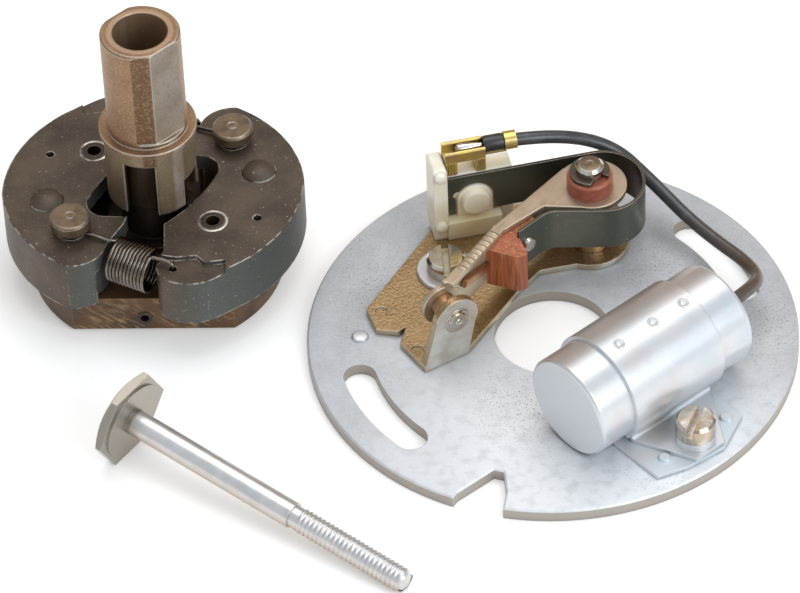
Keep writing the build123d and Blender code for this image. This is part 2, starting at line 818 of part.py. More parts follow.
# Advance unit base: disc with two flats, camshaft seat beneath and spindle bore
camshaft_seat_radius = 6.2
camshaft_seat_depth = 3.2
with BuildPart() as advance_base:
    with BuildSketch(in_unit(0, base_turn)):
        Circle(base_radius)
        Rectangle(2 * base_radius, 2 * base_flat, mode=Mode.INTERSECT)
    extrude(amount=base_thickness)
    chamfer(advance_base.faces().sort_by(Axis.Z)[0].edges(), 0.8)
    with BuildSketch(in_unit(0)):
        Circle(camshaft_seat_radius)
    extrude(amount=camshaft_seat_depth, mode=Mode.SUBTRACT)
    with BuildSketch(in_unit(0)):
        Circle(spindle_radius)
        for turn in (0, 180):
            with Locations(polar(weight_pivot_radius, weight_pivot_angle + turn)):
                Circle(post_radius)
    extrude(amount=base_thickness, mode=Mode.SUBTRACT)
    roll_pin_radius = 1.4
    roll_pin_depth = 5.0
    front_flat = in_unit(base_thickness * 0.42, base_turn)
    roll_pin_plane = Plane(
        origin=front_flat.from_local_coords((-1.5, -base_flat, 0)),
        x_dir=front_flat.x_dir,
        z_dir=-front_flat.y_dir,
    )
    with BuildSketch(roll_pin_plane):
        Circle(roll_pin_radius)
    extrude(amount=-roll_pin_depth, mode=Mode.SUBTRACT)
save(advance_base, "advance_base")

with BuildPart() as base_roll_pin:
    with BuildSketch(roll_pin_plane.offset(0.2)):
        Circle(roll_pin_radius)
        Circle(roll_pin_radius * 0.6, mode=Mode.SUBTRACT)
    extrude(amount=-roll_pin_depth)
save(base_roll_pin, "base_roll_pin")

# Hollow spindle standing in the base, the cam's bearing
spindle_top = cam_foot + cam_height * 0.25
with BuildPart() as spindle:
    with BuildSketch(in_unit(camshaft_seat_depth)):
        Circle(spindle_radius)
        Circle(bolt_radius + free_gap, mode=Mode.SUBTRACT)
    extrude(amount=spindle_top - camshaft_seat_depth)
save(spindle, "spindle")

# Two pivot posts with necks for the springs' loops and flat heads
neck_bottom = weight_top + 0.2
neck_top = neck_bottom + post_neck
with BuildPart() as weight_posts:
    for turn in (0, 180):
        post_x, post_y = polar(weight_pivot_radius, weight_pivot_angle + turn)
        with BuildSketch(upright(unit_x + post_x, unit_y + post_y)):
            with BuildLine():
                Polyline(
                    (0, 1.0),
                    (post_radius, 1.0),
                    (post_radius, neck_bottom),
                    (post_radius * 0.75, neck_bottom),
                    (post_radius * 0.75, neck_top),
                    (post_head_radius, neck_top),
                    (post_head_radius, neck_top + post_head_height - 0.3),
                    (post_head_radius - 0.3, neck_top + post_head_height),
                    (0, neck_top + post_head_height),
                    close=True,
                )
            make_face()
        revolve(axis=Axis((unit_x + post_x, unit_y + post_y, 0), (0, 0, 1)))
save(weight_posts, "weight_posts")

# Cam: hollow shaft with flats, collar, slotted sleeve, and a two-armed yoke under the weights
yoke_arm = 2 * (drive_pin_radius + 2.0)
fork_clearance = 0.12
stem_radius = sleeve_radius - sleeve_wall - 0.6
with BuildPart() as cam:
    with BuildSketch(in_unit(cam_foot)):
        Circle(cam_radius)
    extrude(amount=cam_height)
    chamfer(cam.faces().sort_by(Axis.Z)[-1].edges(), 0.4)
    for turn in (0, 180):
        for normal, reach in ((cam_flat_angle, cam_flat), (cam_ramp_angle, cam_ramp)):
            with BuildSketch(in_unit(cam_foot + cam_ledge, turn + normal)):
                with Locations((reach + cam_radius, 0)):
                    Rectangle(2 * cam_radius, 2 * cam_radius)
            extrude(amount=cam_height, mode=Mode.SUBTRACT)
    with BuildSketch(in_unit(collar_bottom)):
        Circle(collar_radius)
    extrude(amount=collar_height)
    with BuildSketch(in_unit(sleeve_bottom)):
        Circle(sleeve_radius)
        Circle(sleeve_radius - sleeve_wall, mode=Mode.SUBTRACT)
    extrude(amount=sleeve_height)
    for turn in (0, 180):
        with BuildSketch(in_unit(sleeve_bottom, turn + sleeve_slot_angle)):
            with Locations((sleeve_radius, 0)):
                Rectangle(2 * sleeve_wall + 2, sleeve_slot_width)
        extrude(amount=sleeve_height * 0.82, mode=Mode.SUBTRACT)
        with BuildSketch(in_unit(sleeve_bottom, turn + sleeve_cut_angle)):
            with BuildLine():
                Polyline((0, 0), (2 * sleeve_radius, 0), (2 * sleeve_radius, 2 * sleeve_radius), close=True)
            make_face()
        extrude(amount=sleeve_height * 0.42, mode=Mode.SUBTRACT)
    with BuildSketch(in_unit(yoke_bottom)):
        Circle(stem_radius)
    extrude(amount=collar_bottom + collar_height / 2 - yoke_bottom)
    with BuildSketch(in_unit(yoke_bottom)):
        Circle(sleeve_radius + 0.6)
        for turn in (0, 180):
            with Locations(Rot(0, 0, drive_pin_angle + turn)):
                with Locations((yoke_reach / 2, 0)):
                    Rectangle(yoke_reach, yoke_arm)
                with Locations((yoke_reach, 0)):
                    Rectangle(2 * (yoke_reach - drive_pin_reach + drive_pin_radius + 0.6),
                              2 * (drive_pin_radius + fork_clearance), mode=Mode.SUBTRACT)
    extrude(amount=yoke_thickness)
    with BuildSketch(in_unit(0)):
        Circle(spindle_radius + running_fit)
    extrude(amount=cam_top, mode=Mode.SUBTRACT)
save(cam, "cam")

# Flyweights: outlined web on a heavy rim, with a pivot lobe, a tail and a pocket over the yoke
pivot_spot = Vector(*polar(weight_pivot_radius, weight_pivot_angle))
pin_spot = Vector(*polar(drive_pin_reach, drive_pin_angle))
rivet_spot = (18.85, 2.5)
oil_hole_spot = polar(20.6, -27)
hook_spot = Vector(3.4, -20.4)
pocket_radius = yoke_reach + 2 * free_gap
right_tail_step = 0.9
left_tail_step = 0.4


def flyweight(turn, step):
    """One flyweight in the unit's frame turned about its axis, its tail stepped down."""
    with BuildPart() as weight:
        with BuildSketch(in_unit(weight_bottom, turn)):
            with BuildLine():
                ThreePointArc((8.2, 14.4), (10.4, 18.2), (15.2, 19.4))
                ThreePointArc((15.2, 19.4), (23.4, 11.0), (26.8, 0.5))
                ThreePointArc((26.8, 0.5), (24.2, -10.2), (15.8, -20.0))
                Line((15.8, -20.0), (10.4, -23.4))
                ThreePointArc((10.4, -23.4), (6.6, -24.4), (3.0, -23.6))
                ThreePointArc((3.0, -23.6), (1.0, -21.9), (0.6, -19.4))
                Line((0.6, -19.4), (1.9, -16.4))
                Line((1.9, -16.4), (1.9, -9.9))
                ThreePointArc((1.9, -9.9), (7.9, -3.6), (11.4, 2.4))
                ThreePointArc((11.4, 2.4), (11.1, 5.7), (8.6, 7.2))
                Line((8.6, 7.2), (4.6, 7.6))
                Line((4.6, 7.6), (5.2, 9.4))
                Line((5.2, 9.4), (8.2, 14.4))
            make_face()
        extrude(amount=weight_height)
        with BuildSketch(in_unit(weight_bottom, turn)):
            Circle(pocket_radius)
            with Locations(pivot_spot):
                Circle(weight_lobe_radius, mode=Mode.SUBTRACT)
            with Locations((0, -pocket_radius)):
                Rectangle(18, 11, mode=Mode.SUBTRACT)
        extrude(amount=weight_height - weight_web, mode=Mode.SUBTRACT)
        with BuildSketch(in_unit(weight_top, turn)):
            with BuildLine():
                Polyline(
                    (-2.0, -16.8),
                    (4.0, -18.4),
                    (7.6, -18.2),
                    (9.0, -20.0),
                    (12.6, -19.6),
                    (12.6, -26.0),
                    (-2.0, -26.0),
                    close=True,
                )
            make_face()
        extrude(amount=-step, mode=Mode.SUBTRACT)
        with BuildSketch(in_unit(weight_top, turn)):
            with Locations(pivot_spot):
                Circle(post_radius + running_fit)
        extrude(amount=-weight_height, mode=Mode.SUBTRACT)
        with BuildSketch(in_unit(weight_top, turn)):
            with Locations(pin_spot):
                Circle(drive_pin_radius)
            with Locations(rivet_spot):
                Circle(1.5)
            with Locations(oil_hole_spot):
                Circle(0.75)
        extrude(amount=-weight_web, mode=Mode.SUBTRACT)
        with BuildSketch(in_unit(weight_top - step, turn)):
            with Locations(hook_spot):
                Circle(coil_wire)
        extrude(amount=-2.5, mode=Mode.SUBTRACT)
    return weight


def drive_pin(turn):
    """Hollow spring pin through the web into the yoke's fork."""
    with BuildPart() as pin:
        with BuildSketch(in_unit(yoke_bottom + free_gap, turn)):
            with Locations(pin_spot):
                Circle(drive_pin_radius)
                Circle(drive_pin_radius * 0.6, mode=Mode.SUBTRACT)
        extrude(amount=weight_top + 0.15 - yoke_bottom - free_gap)
    return pin


def weight_rivet(turn):
    """Domed rivet head on a shank in the web."""
    dome_radius = 3.1
    dome_height = 1.2
    ball = (dome_radius**2 + dome_height**2) / (2 * dome_height)
    home = in_unit(weight_top, turn)
    place = home.from_local_coords(Vector(*rivet_spot, 0))
    with BuildPart() as rivet:
        with BuildSketch(upright(place.X, place.Y)):
            with BuildLine():
                Line((0, weight_top - weight_web), (1.5, weight_top - weight_web))
                Line((1.5, weight_top - weight_web), (1.5, weight_top))
                Line((1.5, weight_top), (dome_radius, weight_top))
                RadiusArc((dome_radius, weight_top), (0, weight_top + dome_height), -ball)
                Line((0, weight_top + dome_height), (0, weight_top - weight_web))
            make_face()
        revolve(axis=Axis((place.X, place.Y, 0), (0, 0, 1)))
    return rivet


# Advance springs: close-wound coil, loop round one weight's post, hook in the other weight's tail
coil_length = coil_turns * coil_wire
post_spot = Vector(*polar(weight_pivot_radius, weight_pivot_angle + 180))
span = hook_spot - post_spot
span_dir = span.normalized()
coil_centre = post_spot + span_dir * (weight_lobe_radius + coil_stand_off + coil_length / 2)
coil_axis = weight_top + free_gap + coil_wire - coil_radius
loop_level = neck_bottom + post_neck / 2
loop_radius = post_radius * 0.75 + 0.6


def advance_spring(turn, step):
    """Tension spring in the unit's frame turned about its axis, hooked in a tail stepped down."""
    home = in_unit(0, turn)
    heading = Vector(*polar(1, degrees(atan2(span_dir.Y, span_dir.X)) + turn))
    near = home.from_local_coords(coil_centre - span_dir * coil_length / 2 + Vector(0, 0, coil_axis))
    far = home.from_local_coords(coil_centre + span_dir * coil_length / 2 + Vector(0, 0, coil_axis))
    post = home.from_local_coords(post_spot + Vector(0, 0, loop_level))
    hook = home.from_local_coords(hook_spot + Vector(0, 0, weight_top - step))
    lift = Vector(0, 0, coil_radius - coil_wire / 2)
    with BuildPart() as spring:
        with BuildSketch(Plane(origin=near, x_dir=heading, z_dir=(heading.Y, -heading.X, 0))):
            with BuildLine():
                ridge = [(0, coil_radius - coil_wire)]
                for turn_number in range(coil_turns):
                    ridge.append(((turn_number + 0.08) * coil_wire, coil_radius - coil_wire * 0.4))
                    ridge.append(((turn_number + 0.5) * coil_wire, coil_radius))
                ridge.append((coil_length, coil_radius - coil_wire * 0.4))
                ridge.append((coil_length, coil_radius - coil_wire))
                Polyline(*ridge, close=True)
            make_face()
        revolve(axis=Axis(near, heading))
        with BuildLine() as post_wire:
            Line(near + lift + heading * coil_wire / 2, post + heading * loop_radius)
        with BuildSketch(Plane(origin=post_wire.line @ 0, z_dir=post_wire.line % 0)):
            RegularPolygon(coil_wire / 2, 6)
        sweep(path=post_wire.line)
        with BuildSketch(upright(post.X, post.Y)):
            with Locations((loop_radius, loop_level)):
                RegularPolygon(coil_wire / 2, 6)
        revolve(axis=Axis((post.X, post.Y, 0), (0, 0, 1)))
        with BuildLine() as hook_wire:
            FilletPolyline(
                far + lift - heading * coil_wire / 2,
                hook + Vector(0, 0, 1.4),
                hook - Vector(0, 0, 2.0),
                radius=0.8,
            )
        with BuildSketch(Plane(origin=hook_wire.line @ 0, z_dir=hook_wire.line % 0)):
            RegularPolygon(coil_wire / 2, 6)
        sweep(path=hook_wire.line)
    return spring


for side, turn, step in (("right", 0, right_tail_step), ("left", 180, left_tail_step)):
    save(flyweight(turn, step), f"flyweight_{side}")
    save(drive_pin(turn), f"drive_pin_{side}")
    save(weight_rivet(turn), f"weight_rivet_{side}")
save(advance_spring(0, right_tail_step), "advance_spring_front")
save(advance_spring(180, left_tail_step), "advance_spring_rear")

# Centre bolt lying on the bench: it rests on a flat of its head and on the end of its thread
head_half = bolt_head_flat / 2
bolt_tilt = atan2(head_half - bolt_thread_radius, bolt_length)
bolt_axis = Vector(
    cos(bolt_tilt) * cos(radians(bolt_heading)),
    cos(bolt_tilt) * sin(radians(bolt_heading)),
    -sin(bolt_tilt),
)
bolt_plane = Plane(
    origin=(bolt_head_x, bolt_head_y, head_half * cos(bolt_tilt)),
    x_dir=(-sin(radians(bolt_heading)), cos(radians(bolt_heading)), 0),
    z_dir=bolt_axis,
)
crown_radius = head_half * 0.95
skirt_radius = crown_radius + bolt_head_height * tan(radians(bolt_head_chamfer))
with BuildPart() as centre_bolt:
    with BuildSketch(bolt_plane.offset(-bolt_head_height)):
        RegularPolygon(head_half, 6, major_radius=False)
    extrude(amount=bolt_head_height)
    with BuildSketch(bolt_plane.offset(-bolt_head_height)):
        Circle(crown_radius)
    with BuildSketch(bolt_plane):
        Circle(skirt_radius)
    loft(mode=Mode.INTERSECT)
    with BuildSketch(bolt_plane):
        Circle(head_half * 0.9)
    extrude(amount=bolt_washer_face)
    with BuildSketch(bolt_plane):
        Circle(bolt_radius)
    extrude(amount=bolt_length - bolt_thread_length)
    with BuildSketch(bolt_plane.offset(bolt_length - bolt_thread_length)):
        Circle(bolt_thread_radius)
    extrude(amount=bolt_thread_length)
    chamfer(centre_bolt.faces().sort_by(Axis(bolt_plane.origin, bolt_axis))[-1].edges(), bolt_tip_chamfer)
save(centre_bolt, "centre_bolt")
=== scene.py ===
import json
import math
from functools import cached_property

import bmesh
import bpy
from bpy.props import FloatProperty, FloatVectorProperty, IntProperty, PointerProperty
from mathutils import Matrix, Vector


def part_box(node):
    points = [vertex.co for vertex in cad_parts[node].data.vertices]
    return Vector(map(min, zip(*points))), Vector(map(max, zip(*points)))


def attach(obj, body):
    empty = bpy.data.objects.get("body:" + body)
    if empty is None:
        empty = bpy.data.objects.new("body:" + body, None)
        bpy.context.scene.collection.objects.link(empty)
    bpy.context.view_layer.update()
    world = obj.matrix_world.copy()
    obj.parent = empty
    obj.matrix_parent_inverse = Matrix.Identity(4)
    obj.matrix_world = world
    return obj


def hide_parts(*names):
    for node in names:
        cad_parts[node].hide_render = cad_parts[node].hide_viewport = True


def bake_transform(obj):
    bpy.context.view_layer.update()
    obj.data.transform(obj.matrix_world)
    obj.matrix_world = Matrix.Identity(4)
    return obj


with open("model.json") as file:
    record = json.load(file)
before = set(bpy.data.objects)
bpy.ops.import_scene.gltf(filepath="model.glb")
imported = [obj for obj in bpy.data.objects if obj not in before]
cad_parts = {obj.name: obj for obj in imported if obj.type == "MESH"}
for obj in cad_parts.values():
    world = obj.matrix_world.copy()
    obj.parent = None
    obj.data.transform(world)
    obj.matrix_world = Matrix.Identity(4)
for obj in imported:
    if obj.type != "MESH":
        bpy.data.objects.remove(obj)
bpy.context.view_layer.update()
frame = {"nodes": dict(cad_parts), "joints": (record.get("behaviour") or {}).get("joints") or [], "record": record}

bl_info = {
    "name": "Contact Breaker Set",
    "version": (1, 0, 0),
    "blender": (4, 5, 0),
    "location": "View3D > Sidebar > Ignition",
    "description": "Finishes, wires, small details and bench for a contact-breaker ignition set",
    "category": "Object",
}

MM = 0.001

# The image that the camera is fitted to
IMAGE_WIDTH = 800
SENSOR_MM = 36.0

# Route of the condenser's lead in millimetres, from the terminal clip round the contact set to the can
LEAD_ROUTE = [
    (-10.53, 28.75, 21.5),
    (-0.23, 30.81, 21.5),
    (12.1, 34.55, 15.25),
    (19.5, 29.25, 10.0),
    (27.0, 19.3, 7.6),
    (37.6, 6.4, 8.2),
    (33.82, -1.71, 11.7),
    (28.02, -6.37, 11.7),
]

# Places in millimetres from the frame's origin
PIP_PLACE = (-33.9, 0.85)
STUD_PLACE = (-12.495, 26.362)
CAN_FRONT = (1.2, -27.85, 11.7)
# Painted highlight: the spot in front of the plate that is painted lighter
PAINTED_HIGHLIGHT_PLACE = (6, -35, 2.4)
DAMP_PLACES = (((37, 0, 2.4), 15), ((19, 15, 2.4), 12), ((-6, -18, 2.4), 14), ((-30, 14, 2.4), 14))
# Painted gold reflection centres on the nylon's foot here
NYLON_FOOT = (-13, 25, 5)
BROWNED_BEND = (37, 4, 9)

# Places in millimetres from the breaker arm's pivot
EAR_FOOT = (-30.6, -30.7)
WEB_START = (-16.4, -9.3)

# Sizes in millimetres: the fixed contact in the bracket's ear
EYE_HEIGHT = 11.6
EYE_REACH = 6.8

# The breaker arm's ribs, and where the leaf spring bends
RIB_RUN_IN = 1.6
RIB_HALF_WIDTH = 0.95

# The terminal clip, and the condenser with the welds along its strap
CLIP_DEPTH = 2.0
CAN_LENGTH = 35.0
STRAP_RADIUS = 10.1
WELD_REACHES = (10.4, 18.2, 25.2)

# The cam from the top down
CAM_LENGTH = 21.4
COLLAR_HEIGHT = 1.0
SLEEVE_LENGTH = 14.2

# The advance springs, from the top of a flyweight up
LOOP_RADIUS = 2.55
LOOP_RISE = 0.95
COIL_RISE = 0.3
HOOK_RISES = (1.4, 0.6, -2.0)

# How far the bench lies under the set
BENCH_DROP = 0.02

# Radii in millimetres between which the painted light round the cam's bore and the painted shade inside its sleeve
# fade out
BORE_RIM = (5.9, 5.7)
SLEEVE_INSIDE = (7.6, 7.3)

# Counts
RIBS = 9
SPRING_SLICES = 24

UP = Vector((0.0, 0.0, 1.0))

# Ways that pieces look or run, as angles about +Z
CAN_ANGLE = math.radians(38.7)
EAR_ANGLE = math.radians(29.5)
TAIL_ANGLE = math.radians(11.325)
WEB_ANGLE = math.radians(234.64)
CAM_FLAT_ANGLE = math.radians(-50)
CAM_RAMP_ANGLE = math.radians(-88)

# Angles of the spot welds from upright and of the gap in a spring's loop
WELD_LEAN = math.radians(10.5)
LOOP_GAP = 0.5


def linear(code):
    """Linear RGBA of an sRGB hex colour."""
    channels = [int(code[place:place + 2], 16) / 255 for place in (1, 3, 5)]
    curve = [c / 12.92 if c <= 0.04045 else ((c + 0.055) / 1.055) ** 2.4 for c in channels]
    return (*curve, 1.0)


def colour(name, code):
    """A colour that a user may change, from its sRGB hex value."""
    return FloatVectorProperty(
        name=name,
        description=f"{name} as it looks in plain daylight",
        subtype="COLOR",
        size=4,
        min=0.0,
        max=1.0,
        default=linear(code),
    )


def amount(name, words, default, unit="NONE"):
    """A number that a user may change."""
    return FloatProperty(name=name, description=words, default=default, unit=unit)


def length(name, millimetres, words):
    """A size that a user may change, given in millimetres."""
    return amount(name, words, millimetres * MM, "LENGTH")


class FinishSettings(bpy.types.PropertyGroup):
    """Colours of the set's finishes."""

    zinc_light: colour("Dull zinc, light clouds", "#BEC1C5")
    zinc_dark: colour("Dull zinc, dull clouds", "#A6A9AD")
    zinc_painted_highlight: colour("Dull zinc, bright middle", "#E2E5E8")
    # Painted highlight on the plate's front and on the can's closed end
    zinc_sparkle: colour("Dull zinc, sparkling crystals", "#DDE1E5")
    zinc_pit: colour("Dull zinc, pits", "#54524E")
    sheared: colour("Sheared edge", "#9E9385")
    bright_zinc: colour("Bright zinc", "#D8DADC")
    bright_blue: colour("Bright zinc, blue bloom", "#C1CED6")
    bright_pink: colour("Bright zinc, pink bloom", "#D3CACC")
    # Painted warm reflection on the side of the can that faces up and away
    bright_painted_warm_reflection: colour("Bright zinc, straw-coloured side", "#B39A7C")
    stamped_zinc: colour("Bright zinc stamping", "#CAD7DD")
    yellow_zinc: colour("Yellow zinc", "#A08560")
    yellow_deep: colour("Yellow zinc, deep patches", "#7F6443")
    yellow_pale: colour("Yellow zinc, raised grain", "#C4AA80")
    # Cream sheared edges, also painted highlight on the arm's sides and edges
    cream_edge_and_highlight: colour("Yellow zinc, sheared edge and painted highlight", "#DDD3B8")
    silver_ear: colour("Rubbed ear", "#DAD8D1")
    oxide: colour("Oxide", "#5A4D3F")
    oxide_dark: colour("Oxide, oily patches", "#3D332A")
    # Painted blue sky reflection on the sides that face right and to the front
    oxide_painted_sky_reflection: colour("Oxide, blue sides", "#4F5654")
    brown_oxide: colour("Machined base", "#664A31")
    brown_cut: colour("Machined base, cutter marks", "#A88A66")
    bare_steel: colour("Steel where the finish is worn off", "#D2CCC0")
    cam_bronze: colour("Tempered cam", "#9A7A5C")
    cam_light: colour("Tempered cam, light grain", "#B99F82")
    cam_dark: colour("Tempered cam, dark grain", "#6E523A")
    cam_flat: colour("Ground cam flat", "#C6BEB3")
    cam_sleeve: colour("Cam sleeve", "#94876F")
    # Oil and painted shade: dark tone of the cam's foot, its sleeve's slot and the spindle
    oil_and_painted_shade: colour("Oiled steel in the shade", "#33271E")
    post: colour("Worn post", "#7D6C56")
    pin: colour("Worn pin", "#40372E")
    blued: colour("Blued strip", "#574F44")
    # Blue-green temper in patches, also a painted sheen on the strip's front faces
    blued_temper_and_painted_sheen: colour("Blued strip, blue-green temper and painted sheen", "#5F6258")
    wire: colour("Spring wire", "#7C776F")
    arm: colour("Pressed arm", "#AC9880")
    arm_pink: colour("Pressed arm, rubbed patches", "#BDA894")
    turned: colour("Turned steel", "#CFC9BF")
    turned_tan: colour("Turned steel, straw patches", "#B09A80")
    copper: colour("Copper", "#BC8A66")
    brass: colour("Brass", "#DCC368")
    plated_bolt: colour("Plated bolt", "#DADBDC")
    plated_grey: colour("Plated bolt, grey patches", "#B2B0AC")
    # Painted tan reflection on the bolt's downward faces
    plated_painted_tan_reflection: colour("Plated bolt, lower side", "#B59F88")
    plated_head: colour("Plated bolt, head", "#A49D92")
    tinned: colour("Tinned wire", "#CFC6BE")
    fibre: colour("Bonded fibre", "#B0633D")
    fibre_dark: colour("Bonded fibre, dark layers", "#84432A")
    fibre_light: colour("Bonded fibre, raised layers", "#CF8756")
    bush: colour("Fibre bush", "#9A5646")
    nylon: colour("Nylon", "#FAF3E4")
    # Deeper nylon in patches, also a painted gold reflection at the foot
    nylon_deep_and_gold_reflection: colour("Nylon, deeper patches and painted gold reflection", "#E6D3A6")
    vinyl: colour("Lead's sleeve", "#3C3D3E")
    vinyl_dust: colour("Lead's sleeve, dust", "#5E5F60")
    vinyl_brown: colour("Lead's sleeve, browned end", "#5A4A3B")
    # Painted shade in corners and recesses
    corner_shade: colour("Painted shade in corners", "#3B3127")
    rubber: colour("Rubber", "#2B2A29")
    rubber_dust: colour("Rubber, dust", "#57534E")


class DetailSettings(bpy.types.PropertyGroup):
    """Sizes of the wires, springs, thread and small details."""

    lead: length("Lead", 2.4, "Diameter over the lead's sleeve")
    coil_radius: length("Coil radius", 4.2, "Outside radius of an advance spring's coil")
    coil_wire: length("Coil wire", 0.7, "Diameter of an advance spring's wire")
    coil_turns: IntProperty(name="Coil turns", description="Turns in an advance spring", default=11, min=3)
    coil_stand: length("Coil stand-off", 8.1, "From the post's axis to the coil's first turn")
    hook_x: length("Hook across", 3.4, "Hook in the weight's tail, across from the unit's axis")
    hook_y: length("Hook along", -20.4, "Hook in the weight's tail, along from the unit's axis")
    right_step: length("Right tail step", 0.9, "How far the right weight's tail is stepped down")
    left_step: length("Left tail step", 0.4, "How far the left weight's tail is stepped down")
    thread_pitch: length("Thread pitch", 0.9, "Pitch of the centre bolt's thread")
    thread_core: length("Thread core", 1.95, "Radius at the root of the centre bolt's thread")
    thread_crest: length("Thread crest", 2.22, "Radius at the crest of the centre bolt's thread")
    thread_length: length("Thread length", 23.6, "Length of the centre bolt's thread")
    rib_pitch: length("Rib pitch", 1.25, "From rib to rib on the breaker arm's flange")
    rib_height: length("Rib height", 0.3, "Height of a rib on the breaker arm's flange")
    weld_radius: length("Weld mark", 1.0, "Radius of a spot weld's ring on the condenser strap")


class BenchSettings(bpy.types.PropertyGroup):
    """Camera, lamps and bench."""

    focal: amount("Focal length in pixels", "Focal length over pixel size", 5600.0)
    pitch: amount("Pitch", "How far the camera looks down", math.radians(44.58944), "ROTATION")
    roll: amount("Roll", "How far the camera leans", math.radians(-2.56596), "ROTATION")
    place: FloatVectorProperty(
        name="Camera place",
        description="Where the camera stands",
        subtype="TRANSLATION",
        default=(-26.57 * MM, -696.98 * MM, 699.96 * MM),
    )
    paper: colour("Bench top", "#F6F6F5")
    sky: colour("Overhead light", "#FBFCFF")
    far_wall: colour("Far wall", "#B59E85")
    near_wall: colour("Near wall", "#EEF3F7")
    glow: amount("Bench glow", "Strength of the bench top's own light", 0.25)
    half_width: amount("Bench half width", "From the bench's middle to its edge", 3.0, "LENGTH")
    room_level: amount("Room level", "Strength of the room's light", 0.72)
    key_power: amount("Key lamp", "Power of the overhead lamp", 3.2, "POWER")
    fill_power: amount("Fill lamp", "Power of the front lamp", 4.5, "POWER")


class Look:
    """Nodes of a material or world, with the masks and coats that its finish is made of.

    Grain, pits and scratches too fine to show in a picture are drawn coarser, at 0.35 to 0.7 mm.
    """

    def __init__(self, holder, tones=None):
        holder.use_nodes = True
        self.tree = holder.node_tree
        self.tree.nodes.clear()
        self.tones = tones

    def put(self, kind, inputs=None, out=0, **fields):
        """Add one shader node, set its fields, link or set its inputs, and give back one of its outputs."""
        node = self.tree.nodes.new(f"ShaderNode{kind}")
        for field, value in fields.items():
            setattr(node, field, value)
        for key, value in (inputs or {}).items():
            if isinstance(value, bpy.types.NodeSocket):
                self.tree.links.new(value, node.inputs[key])
            else:
                node.inputs[key].default_value = value
        return node.outputs[out] if node.outputs else None

    @cached_property
    def place(self):
        """Place on the object in metres."""
        return self.put("TexCoord", out="Object")

    def patches(self, size, low, high, most=1.0, detail=4.0, place=None):
        """Soft patches of a size in millimetres: 0 below a low share of the noise, most above a high one."""
        grain = {"Vector": place or self.place, "Scale": 1.0 / (size * MM), "Detail": detail}
        noise = self.put("TexNoise", grain, "Fac")
        return self.put("MapRange", {0: noise, "From Min": low, "From Max": high, "To Max": most})

    def streaks(self, size, turn, low, high, most=1.0, stretch=0.05):
        """Patches drawn out along the local X axis turned by Euler angles."""
        drawn = self.put("Mapping", {"Vector": self.place, "Rotation": turn}, vector_type="TEXTURE")
        long = self.put("Mapping", {"Vector": drawn, "Scale": (stretch, 1.0, 1.0)})
        return self.patches(size, low, high, most, 2.0, long)

    def near(self, spot, reach, most=1.0):
        """Mask round a spot in millimetres that fades out at its reach."""
        centre = [value * MM for value in spot]
        gap = self.put("VectorMath", {0: self.place, 1: centre}, "Value", operation="DISTANCE")
        return self.put("MapRange", {0: gap, "From Min": reach * MM, "From Max": 0.0, "To Max": most})

    def facing(self, way, low, high, most=1.0):
        """Mask of the faces that look along a way, from a low to a high share of straight along it."""
        normal = self.put("NewGeometry", out="Normal")
        share = self.put("VectorMath", {0: normal, 1: way}, "Value", operation="DOT_PRODUCT")
        return self.put("MapRange", {0: share, "From Min": low, "From Max": high, "To Max": most})

    def above(self, foot, most=1.0):
        """Mask of what is above a height in metres."""
        height = self.put("SeparateXYZ", {0: self.place}, "Z")
        limits = {"From Min": foot - 0.1 * MM, "From Max": foot + 0.1 * MM, "To Max": most}
        return self.put("MapRange", {0: height, **limits})

    def rounded_edge(self, width, most=1.0):
        """The normal with edges rounded to a width in millimetres, and a mask of those edges."""
        rounded = self.put("Bevel", {"Radius": width * MM}, samples=6)
        normal = self.put("NewGeometry", out="Normal")
        bend = self.put("VectorMath", {0: rounded, 1: normal}, "Value", operation="DOT_PRODUCT")
        edge = self.put("MapRange", {0: bend, "From Min": 0.992, "From Max": 0.93, "To Max": most})
        return rounded, edge

    def corners(self, reach, most=1.0):
        """Mask of corners and recesses, up to a reach in millimetres, for painted shade."""
        open_share = self.put("AmbientOcclusion", {"Distance": reach * MM}, "AO", samples=6)
        return self.put("MapRange", {0: open_share, "From Min": 0.65, "From Max": 0.3, "To Max": most})

    def coats(self, base, *layers):
        """Colour built up in coats of named tones, each one covering the last as far as its mask says."""
        for mask, tone in layers:
            under = getattr(self.tones, base) if isinstance(base, str) else base
            over = getattr(self.tones, tone)
            base = self.put("Mix", {0: mask, 6: under, 7: over}, 2, data_type="RGBA")
        return base

    def surface(self, base, layers, edge, relief=None, depth=0.0, **shader):
        """Shader inputs of a finish: coats, worn edges last, lightened also as painted highlight, and a relief to
        a depth in millimetres.

        The edge is its width in millimetres, how far it is worn and painted light, and its tone.
        """
        width, share, edge_tone = edge
        # worn edges, lightened also as painted highlight
        normal, worn = self.rounded_edge(width, share)
        tone = self.coats(base, *layers, (worn, edge_tone))
        if relief is not None:
            normal = self.put("Bump", {"Height": relief, "Distance": depth * MM, "Normal": normal})
        return {"Base Color": tone, "Normal": normal, **shader}


